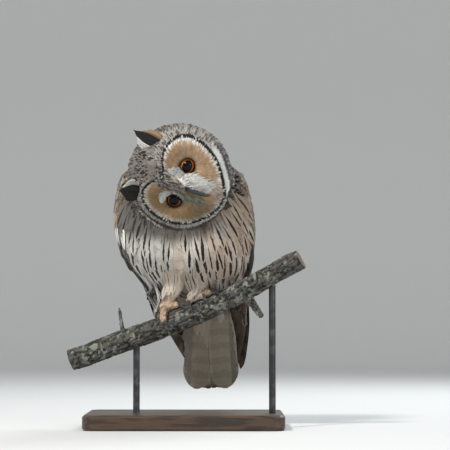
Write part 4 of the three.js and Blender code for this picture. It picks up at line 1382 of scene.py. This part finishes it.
def wing_edge_feathers():
    """Groups of feathers along the shoulders, wing edges, flanks, thighs and belly: start, end and count."""
    laid_group("shoulder_white", [
        ((-76, -12, 254), (-75, -10, 218), 4), ((-71, -20, 250), (-70, -16, 214), 3),
        ((-79, -2, 248), (-76, -2, 222), 2),
    ], WHITE, DARK, 0.13, 2.6 * MM, 4.4 * MM, 2.4 * MM)
    laid_group("shoulder_buff", [
        ((-83, -2, 262), (-82, 0, 236), 6), ((-80, -8, 266), (-80, -4, 240), 4),
    ], (0.36, 0.26, 0.165), BROWN, 0.0, 3.2 * MM, 3.4 * MM, 2.2 * MM)
    # Near-black feathers along the wings' front edges: partly the wing's own dark edge, partly painted shade
    # where wing meets breast.
    laid_group("wing_edge_right", [
        ((-81, -6, 240), (-74, 0, 202), 7), ((-77, -4, 220), (-66, 6, 184), 9),
        ((-69, 2, 200), (-56, 12, 168), 9), ((-60, 8, 184), (-48, 16, 154), 6),
    ], WING_EDGE_AND_SHADE, BLACK, 0.25, 3.2 * MM, 5.0 * MM, 1.8 * MM)
    laid_group("wing_edge_left", [
        ((81, -6, 218), (80, 2, 184), 8), ((79, 0, 200), (77, 10, 168), 8),
    ], WING_EDGE_AND_SHADE, BLACK, 0.25, 3.4 * MM, 5.0 * MM, 3 * MM)
    laid_group("flank_plumes", [
        ((-58, 4, 190), (-45, 18, 142), 8), ((-50, 4, 182), (-39, 18, 134), 9),
        ((-42, 2, 178), (-34, 12, 134), 12), ((56, 2, 196), (58, 14, 166), 6),
        ((42, -4, 186), (44, 8, 160), 6),
    ], (0.58, 0.56, 0.53), DARK, 0.10, 4.2 * MM, 5.0 * MM)
    laid_group("thigh_plumes", [
        ((-17, -22, 192), (-19, -12, 160), 9), ((-24, -18, 188), (-25, -6, 156), 8),
        ((-10, -24, 190), (-12, -12, 160), 8),
    ], (0.54, 0.46, 0.38), DARK, 0.05, 3.4 * MM, 5.5 * MM)
    laid_group("belly_plumes", [
        ((8, -26, 192), (8, -12, 154), 9), ((2, -24, 188), (4, -12, 164), 6),
        ((14, -26, 188), (11, -12, 158), 6),
    ], (0.45, 0.39, 0.33), DARK, 0.16, 3.0 * MM, 5.5 * MM)


# Legs and feet.


def scattered(names, spacing, seed):
    """Even-chance places over the named nodes' surfaces."""
    part = surface_of(*names)
    corner = part.verts[part.tris]
    area = np.linalg.norm(np.cross(corner[:, 1] - corner[:, 0], corner[:, 2] - corner[:, 0]), axis=1) / 2
    count = int(area.sum() / spacing**2)
    picker = np.random.default_rng(seed)
    chosen = picker.choice(len(area), count, p=area / area.sum())
    a, b = picker.random(count), picker.random(count)
    flip = a + b > 1
    a, b = np.where(flip, 1 - a, a), np.where(flip, 1 - b, b)
    first, second, third = np.moveaxis(corner[chosen], 1, 0)
    points = first + (second - first) * a[:, None] + (third - first) * b[:, None]
    return part, points, part.face_normals[chosen]


LEG_TUFT_SPACING = 1.45 * MM
LEG_ROWS = 4
LEG_PEACH = (0.55, 0.39, 0.265)
LEG_PALE = (0.62, 0.485, 0.37)


def leg_feathers(side):
    """Short dense feathers down one leg and out along its toes."""
    word = "left" if side > 0 else "right"
    ankle = box_middle(f"foot_{word}")
    part, points, normals = scattered((f"leg_{word}", f"foot_{word}"), LEG_TUFT_SPACING, 5 + side)
    on_toes = points[:, 2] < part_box(f"leg_{word}")[0][2] + 4 * MM
    outward = points - (ankle + np.array([0, 0.010, 0.012]))
    along_toes = unit(outward) + np.array([0, 0, -0.25])
    heading = np.where(on_toes[:, None], along_toes, np.array([0.0, -0.15, -1.0]))
    heading = along_surface(heading, normals)
    count = len(points)
    length = np.where(on_toes, rng.uniform(3.4, 5.0, count), rng.uniform(7.0, 10.0, count)) * MM
    spine, normal = walk(part, points, heading, length, LEG_ROWS)
    spine = raised(spine, normal, -0.5 * MM, rng.uniform(0.5, 1.3, count) * MM)
    widest = np.where(on_toes, 0.9, 1.5) * rng.uniform(0.8, 1.2, count) * MM
    half = leaf(LEG_ROWS, 0.5, 0.2)[None] * widest[:, None]
    luck = rng.random(count)
    tint = mix(LEG_PEACH, LEG_PALE, luck) * rng.uniform(0.85, 1.1, count)[:, None]
    traits = traits_of(count, mottle=0.05)
    place = np.stack([np.arctan2(outward[:, 1], outward[:, 0]), points[:, 2]], axis=1)
    vanes(f"leg_feathers_{word}", spine, normal, half, tint, even_colour(BROWN, count), traits, luck,
          place, across=(-1, 0, 1), camber=0.3, fine=True)


# Eyes, lids and brows.

EYE_TURN = math.radians(9)
EYE_SQUASH = 0.77
LID_OPENING = 9.5 * MM
CORNEA_BULGE = 1.4 * MM
CORNEA_REACH = 0.80
EYEBALL_INSET = 0.2 * MM
EYE_SIDES = 64


def eye_frame(side):
    """One eye's middle, the way it looks, and its right and top."""
    look = unit(AHEAD * math.cos(EYE_TURN) + ACROSS * side * math.sin(EYE_TURN))
    right = unit(np.cross(UPWARD, look))
    top = np.cross(look, right)
    middle = box_middle("eye_left" if side > 0 else "eye_right")
    return middle - look * 0.5 * MM, look, right, top


def around_eye(frame_of_eye, radius, polar, turn):
    """Places round an eye, from angles off the way it looks and round it."""
    middle, look, right, top = frame_of_eye
    ring = (np.sin(polar) * radius)[..., None]
    return middle + look * (np.cos(polar) * radius)[..., None] + ring * (
        right * np.cos(turn)[..., None] + top * np.sin(turn)[..., None]
    )


def eye_material():
    """A black pupil, an orange iris of fine fibres with darker edges, and a clear wet coat."""
    n = Nodes("eye")
    radial = n.attribute("radial", "Fac")
    turn = n.attribute("turn", "Fac")
    fibres = n.noise(n.vector(n.times(turn, 9.0), n.times(radial, 0.35)), 2.6, 4.0)
    iris = n.mix(n.range(fibres, 0.35, 0.7), (0.42, 0.080, 0.005), (0.70, 0.21, 0.018))
    iris = n.mix(n.range(radial, 8.5, 9.3), iris, (0.16, 0.03, 0.006))
    iris = n.mix(n.range(radial, 7.2, 7.8, 0.8, 0.0), iris, (0.20, 0.045, 0.01))
    colour = n.mix(n.range(radial, 7.0, 7.25), (0.003, 0.003, 0.004), iris)
    colour = n.mix(n.range(radial, 9.2, 9.5), colour, (0.005, 0.004, 0.004))
    n.bump(fibres, 0.0001, 0.2)
    return n.finish(colour, n.range(fibres, 0.3, 0.7, 0.28, 0.4), Coat_Weight=1.0, Coat_Roughness=0.02,
                    Coat_IOR=1.24, Specular_IOR_Level=0.0)


def lid_material():
    """Black wrinkled skin, with a painted pale blue highlight on one side of the rim."""
    n = Nodes("eyelid")
    wrinkles = n.noise(n.place(), 1300.0, 4.0)
    rim = n.attribute("rim", "Fac")
    colour = n.mix(n.range(wrinkles, 0.35, 0.7), (0.002, 0.002, 0.003), (0.007, 0.006, 0.007))
    # Painted highlight: pale blue on the rim.
    colour = n.mix(n.times(rim, 0.35), colour, (0.20, 0.215, 0.25))
    n.bump(wrinkles, 0.0003, 0.5)
    return n.finish(colour, n.range(rim, 0.0, 1.0, 0.7, 0.4), Specular_IOR_Level=0.12)


def ring_faces(rows, around):
    """Quads between rows of vertices that each close on themselves."""
    grid = np.arange(rows * around).reshape(rows, around)
    after = np.roll(grid, -1, axis=1)
    return np.stack([grid[:-1], after[:-1], after[1:], grid[1:]], axis=-1).reshape(-1, 4)


# The lid's section: the angle off its opening, and the distance from the eye's middle in millimetres.
LID_PROFILE = [
    (-0.03, 10.7), (-0.01, 11.4), (0.02, 11.9), (0.06, 12.1), (0.12, 12.0), (0.20, 11.5), (0.30, 10.8)
]


def build_eye(side, iris, lid):
    """An eyeball with a bulging cornea, and the ring of its lids."""
    word = "left" if side > 0 else "right"
    frame_of_eye = eye_frame(side)
    turn = np.linspace(0, 2 * math.pi, EYE_SIDES, endpoint=False)
    polar = np.concatenate([np.linspace(0.002, 1.1, 34), np.linspace(1.2, math.pi - 0.002, 10)])
    bulge = CORNEA_BULGE * np.clip(1 - (polar / CORNEA_REACH) ** 2, 0, 1)
    radius = EYE_RADIUS - EYEBALL_INSET + bulge
    polar_grid, turn_grid = np.meshgrid(polar, turn, indexing="ij")
    radius_grid = np.broadcast_to(radius[:, None], polar_grid.shape)
    verts = around_eye(frame_of_eye, radius_grid, polar_grid, turn_grid).reshape(-1, 3)
    mesh = new_mesh(f"eyeball_{word}", verts, ring_faces(len(polar), len(turn)))
    off_axis = np.sin(np.minimum(polar_grid, math.pi / 2)) * EYE_RADIUS / MM
    oval = np.hypot(off_axis * np.cos(turn_grid), off_axis * np.sin(turn_grid) / EYE_SQUASH)
    add_values(mesh, "radial", oval.ravel())
    add_values(mesh, "turn", np.abs(turn_grid - math.pi).ravel())
    new_object(f"eyeball_{word}", mesh, iris, (f"eye_{word}",))
    shape = 1 / np.hypot(np.cos(turn), np.sin(turn) / EYE_SQUASH)
    if side < 0:
        shape = shape * (1 - 0.72 * np.clip(np.cos(turn), 0, 1) ** 1.1)
    opening = np.arcsin(LID_OPENING * shape / EYE_RADIUS)
    polar_grid = np.array([opening + offset for offset, _ in LID_PROFILE])
    radius_grid = np.array([[r * MM] * len(turn) for _, r in LID_PROFILE])
    turn_grid = np.broadcast_to(turn, polar_grid.shape)
    verts = around_eye(frame_of_eye, radius_grid, polar_grid, turn_grid).reshape(-1, 3)
    mesh = new_mesh(f"eyelid_{word}", verts, ring_faces(len(LID_PROFILE), len(turn)))
    # Where the rim carries its painted highlight: one side of each eye.
    rim = np.array([0, 0.6, 1.0, 0.4, 0.1, 0, 0])[:, None] * np.clip(np.cos(turn - 0.6) * side, 0, 1)[None]
    add_values(mesh, "rim", rim.ravel())
    new_object(f"eyelid_{word}", mesh, lid)


BRISTLES_PER_BROW = 1700
BRISTLE_ROWS = 6
BROW_SHADE = np.array([0.70, 0.69, 0.76])


def brow_feathers():
    """White bristles over and between the eyes, and beside the bill."""
    a, u, way_a, way_u, whites = [], [], [], [], []
    for side in (1, -1):
        line = BROWS[side][:, :2]
        count = BRISTLES_PER_BROW
        t = rng.random(count) * (len(line) - 1)
        i = np.minimum(t.astype(int), len(line) - 2)
        point = line[i] + (line[i + 1] - line[i]) * (t - i)[:, None]
        tangent = unit(line[i + 1] - line[i])
        outward = np.stack([tangent[:, 1] * -side, tangent[:, 0] * side], axis=1)
        outward = outward * np.where(outward[:, :1] * side < 0, -1, 1)
        reach = np.interp(t, np.arange(len(line)), BROWS[side][:, 2])
        off = np.clip(rng.normal(0, 0.42, count), -1.4, 1.4) * reach
        upper = t / (len(line) - 1) < 0.42
        way = np.where(upper[:, None], -tangent + outward * 0.05, tangent * 0.75 + outward * 0.7)
        way = unit(way + rng.normal(0, 0.13, way.shape))
        point = point + outward * off[:, None]
        sparse = (side < 0) & (t / (len(line) - 1) > 0.55) & (rng.random(count) < 0.72)
        a.append(point[~sparse, 0])
        u.append(point[~sparse, 1])
        way_a.append(way[~sparse, 0])
        way_u.append(way[~sparse, 1])
        whites.append(np.where(rng.random(count) < 0.05, 0.0, 1.0)[~sparse])
    a, u = np.concatenate(a), np.concatenate(u)
    heading = np.stack([np.concatenate(way_a), np.concatenate(way_u)], axis=1)
    white = np.concatenate(whites)
    length = np.where(u > -2 * MM, rng.uniform(3.0, 5.5, len(a)), rng.uniform(4.5, 10.5, len(a))) * MM
    bill = surface_of("bill_upper", "bill_lower")
    covered_tris = np.concatenate([skin.tris, bill.tris + len(skin.verts)])
    covered = Surface(np.concatenate([skin.verts, bill.verts]), covered_tris)
    spine, normal, _, _ = face_spines(covered, a, u, heading, length, BRISTLE_ROWS)
    good = ~np.isnan(spine).any(axis=(1, 2)) & ~np.isnan(normal).any(axis=(1, 2))
    bare = (np.abs(a + 1 * MM) < 2.2 * MM) & (u < -15 * MM)
    good = good & ~bare
    spine, normal, white, a, u = spine[good], normal[good], white[good], a[good], u[good]
    spine[:, 1:-1] = (spine[:, :-2] + spine[:, 1:-1] * 2 + spine[:, 2:]) / 4
    count = len(spine)
    toward_bill = (1 - ramp(np.abs(a), 5 * MM, 11 * MM)) * (1 - ramp(u, -22 * MM, -8 * MM))
    spine = raised(spine, normal, 1.2 * MM, (rng.uniform(2.4, 4.0, count) + 0.6 * toward_bill) * MM)
    half = widths(leaf(BRISTLE_ROWS, 0.3, 0.1, 0.6), 0.28, 0.5, count)
    # Greyer at the root, white at the tip: painted shade at the bristles' roots; each bristle also a little
    # lighter or darker at random.
    bristle_tint_shaded = mix(GREY, WHITE, np.linspace(0.35, 1.05, BRISTLE_ROWS))[None]
    bristle_tint_shaded = bristle_tint_shaded * rng.uniform(0.66, 1.12, count)[:, None, None]
    shaded = (1 - ramp(a, -9 * MM, -4 * MM)) * (1 - ramp(u, -9 * MM, 0 * MM))
    bristle_tint_shaded = bristle_tint_shaded * (1 - shaded[:, None, None] * BROW_SHADE)
    # Bristles on the owl's right, the lower brow, darker: painted shade.
    bristle_tint_shaded = bristle_tint_shaded * np.where(a < 0, 0.86, 1.0)[:, None, None]
    tint = np.where(white[:, None, None] > 0.5, bristle_tint_shaded, np.array(DARK))
    luck = rng.random(count)
    vanes("brow_bristles", spine, normal, half, tint, tint * 0.6, traits_of(count), luck,
          np.stack([a, u], axis=1), across=(-1, 0, 1), camber=0.35, fine=True)


# Ear tufts.


TUFT_COUNT = 60
TUFT_ROWS = 9
TUFT_SPREAD = 10.5
# Each tuft's base, middle and tip on the head, in millimetres.
TUFT_LINES = {
    1: np.array([(30.5, 33, 22), (31.5, 55, 24), (36.7, 72, 20)]),
    -1: np.array([(-27, 38, 24), (-30.5, 54, 33), (-33, 63, 40)]),
}


def tuft(side):
    """Long narrow feathers in a fan: white on the inner edge, black in the middle, buff outside."""
    word = "left" if side > 0 else "right"
    base, middle, tip = TUFT_LINES[side]
    count = TUFT_COUNT
    lane = np.linspace(-1, 1, count) + rng.uniform(-0.04, 0.04, count)
    layer = rng.uniform(-1, 1, count)
    s = np.linspace(0, 1, TUFT_ROWS)[None, :]
    reach = (0.98 - 0.34 * np.abs(lane) ** 1.4 + rng.uniform(-0.16, 0.02, count))[:, None]
    along = s * reach
    line = (
        base[None, None] * ((1 - along) ** 2)[..., None]
        + middle[None, None] * (2 * along * (1 - along))[..., None]
        + tip[None, None] * (along**2)[..., None]
    )
    width = TUFT_SPREAD * (0.75 + 0.55 * np.sin(along * math.pi * 0.8)) * (1 - along**2.2 * 0.93)
    local_a = line[..., 0] + lane[:, None] * width * side
    local_u = line[..., 1] + lane[:, None] * width * -0.25
    cup = layer[:, None] * 2.2 * (1 - along) - 2.6 * np.abs(lane[:, None]) ** 2 * (1 - along)
    local_f = line[..., 2] + cup + 0.4
    spine = on_head(local_a * MM, local_u * MM, local_f * MM)
    normal = np.broadcast_to(AHEAD, spine.shape)
    half = widths(leaf(TUFT_ROWS, 0.45, 0.08), 1.7, 2.4, count)
    white = (lane < -0.60)[:, None]
    buff = (lane > 0.62)[:, None] & (side > 0)
    pale = np.array(WHITE) * (0.95 if side > 0 else 0.9)
    tint = np.where(white, pale, np.where(buff, TUFT_BUFF, TUFT_BLACK))
    tint = tint * rng.uniform(0.8, 1.15, count)[:, None]
    black = ~(white | buff)[:, 0]
    luck = rng.random(count)
    traits = traits_of(count, np.where(black, 0.78, 0.1), 0, 0.3)
    vanes(f"tuft_feathers_{word}", spine, normal, half, tint, even_colour(BLACK, count), traits, luck,
          np.stack([lane, luck], axis=1), replaces=(f"ear_tuft_{word}",), camber=0.3)


# The perch, the bill and the claws.


BARK_VOXEL = 1.15 * MM
SAWN_PLACE = 122 * MM
PERCH_AXIS = unit(np.array([276.0, -39.0, 120.0]))
LICHEN_DOT = np.array([-109, -4, 97]) * MM


def build_perch():
    """The branch with plates of bark, crusts of lichen and sawn ends."""
    mesh = remeshed(NODES["perch"].data.copy(), "bark", BARK_VOXEL, 4)
    verts, tris = mesh_arrays(mesh)
    normals = Surface(verts, tris).normals
    along = verts @ PERCH_AXIS
    stretched = verts - PERCH_AXIS * (along * 0.62)[:, None]
    warped = stretched + (noise3(verts, 4 * MM, 39)[:, None] - 0.5) * 3 * MM
    plates = np.abs(noise3(warped, 3.4 * MM, 31) - 0.5) * 2
    small = 0.5 * noise3(verts, 1.5 * MM, 33) + 0.5 * noise3(verts, 2.6 * MM, 34)
    bumps = noise3(verts, 13 * MM, 35)
    relief = np.clip(0.5 * ramp(plates, 0.02, 0.45) + 0.5 * small, 0, 1)
    cut = (np.abs(normals @ PERCH_AXIS) > 0.75) & (np.abs(verts[:, 0]) > SAWN_PLACE)
    height = np.where(cut, 0.0, (relief - 0.72) * 1.7 * MM + (bumps - 0.5) * 0.8 * MM)
    verts = verts + normals * height[:, None]
    mesh.vertices.foreach_set("co", verts.astype(np.float32).ravel())
    mesh.update()
    mesh.shade_smooth()
    mesh.materials.clear()
    lichen = 0.55 * noise3(verts, 3.2 * MM, 37) + 0.45 * noise3(verts, 9 * MM, 38)
    dot = np.linalg.norm(verts - LICHEN_DOT, axis=1)
    add_values(mesh, "relief", np.where(cut, 0.5, relief))
    add_values(mesh, "lichen", np.clip(lichen + 1.2 * (1 - ramp(dot, 2.5 * MM, 5 * MM)), 0, 1.4))
    pith = np.zeros(len(verts))
    for end in (verts[:, 0] < 0, verts[:, 0] > 0):
        sawn = cut & end
        pith[sawn] = np.linalg.norm(verts[sawn] - verts[sawn].mean(axis=0), axis=1) / MM
    add_values(mesh, "cut", cut.astype(float))
    add_values(mesh, "pith", pith)
    new_object("perch_bark", mesh, bark_material(), ("perch",))


# The stand, the stage and the camera.


def finish_node(name, material, smooth=False):
    """Gives a solid its material and, where it is round, smooth shading."""
    mesh = NODES[name].data
    mesh.materials.clear()
    mesh.materials.append(material)
    if smooth:
        mesh.shade_smooth()


FLOOR_RADIUS = 2.7
BEND = 0.9
BEND_STEPS = 12
BACKDROP_HEIGHT = 2.4
FLOOR_SIDES = 96


def build_stage():
    """A pale round floor that sweeps up all round into a backdrop."""
    profile = [(0.001, 0.0), (FLOOR_RADIUS, 0.0)]
    for i in range(1, BEND_STEPS + 1):
        angle = math.pi / 2 * i / BEND_STEPS
        profile.append((FLOOR_RADIUS + BEND * math.sin(angle), BEND - BEND * math.cos(angle)))
    profile.append((FLOOR_RADIUS + BEND, BACKDROP_HEIGHT))
    turn = np.arange(FLOOR_SIDES) / FLOOR_SIDES * 2 * math.pi
    verts = [(r * math.cos(t), r * math.sin(t), z) for r, z in profile for t in turn]
    mesh = new_mesh("floor", np.array(verts), ring_faces(len(profile), FLOOR_SIDES))
    n = Nodes("floor")
    n.bump(n.noise(n.place(), 40.0, 2.0), 0.0005, 0.05)
    mesh.materials.append(n.finish((0.62, 0.62, 0.61, 1.0), 0.9))
    link("floor", mesh)


def area_light(name, place, aim, size, power, colour):
    """A soft round light that points at a place."""
    light = bpy.data.lights.new(name, "AREA")
    light.shape = "DISK"
    light.size = size
    light.energy = power
    light.color = colour
    obj = link(name, light)
    obj.location = place
    obj.rotation_euler = (Vector(aim) - Vector(place)).to_track_quat("-Z", "Y").to_euler()


LIGHT_AIM = (0.0, 0.0, 0.24)


def build_lights():
    """A key light from the upper left, a weak fill, a back light and an even sky."""
    area_light("key", (-0.9, -1.2, 1.7), LIGHT_AIM, 0.32, 44.0, (1.0, 0.98, 0.95))
    area_light("fill", (1.5, -1.3, 0.7), LIGHT_AIM, 1.2, 9.0, (0.93, 0.97, 1.0))
    area_light("back", (0.7, 1.1, 1.2), LIGHT_AIM, 0.8, 16.0, (0.90, 0.96, 1.0))
    world = bpy.data.worlds.new("studio")
    world.use_nodes = True
    background = world.node_tree.nodes["Background"]
    background.inputs["Color"].default_value = (0.86, 0.90, 0.93, 1.0)
    background.inputs["Strength"].default_value = 0.65
    bpy.context.scene.world = world
    bpy.context.scene.view_settings.view_transform = "Standard"
    bpy.context.scene.view_settings.look = "None"


def build_camera():
    """The photograph's view, from a fixed distance through a long lens."""
    data = bpy.data.cameras.new("camera")
    data.sensor_width = SENSOR_WIDTH
    data.lens = SENSOR_WIDTH * CAMERA_DISTANCE / FRAME_WIDTH_AT_OWL
    data.clip_end = 20.0
    camera = link("camera", data)
    heading = Vector((0.0, math.cos(CAMERA_ELEVATION), -math.sin(CAMERA_ELEVATION)))
    camera.location = CAMERA_AIM - heading * CAMERA_DISTANCE
    camera.rotation_euler = heading.to_track_quat("-Z", "Y").to_euler()
    bpy.context.scene.camera = camera


breast_feathers()
streaked_feathers()
back_feathers()
wing_edge_feathers()
crown_feathers()
disc_feathers()
rim_feathers()
brow_feathers()
undertail_feathers()
for under in (True, False):
    tail_fan(under)
IRIS = eye_material()
LID = lid_material()
for side in (1, -1):
    flight_feathers(side)
    leg_feathers(side)
    build_eye(side, IRIS, LID)
    tuft(side)
build_perch()

BILL = horn_material("bill_horn", (0.008, 0.008, 0.010), (0.024, 0.026, 0.030), 0.36)
CLAW = horn_material("claw_horn", (0.022, 0.023, 0.027), (0.060, 0.066, 0.078), 0.28)
for name in ("bill_upper", "bill_lower"):
    finish_node(name, BILL, smooth=True)
for word in ("left", "right"):
    for toe in TOES:
        finish_node(f"claw_{word}_{toe}", CLAW, smooth=True)
finish_node("stand_base", wood_material())
STEEL = steel_material()
for rod in ("stand_rod_left", "stand_rod_right"):
    finish_node(rod, STEEL)
build_stage()
build_lights()
build_camera()
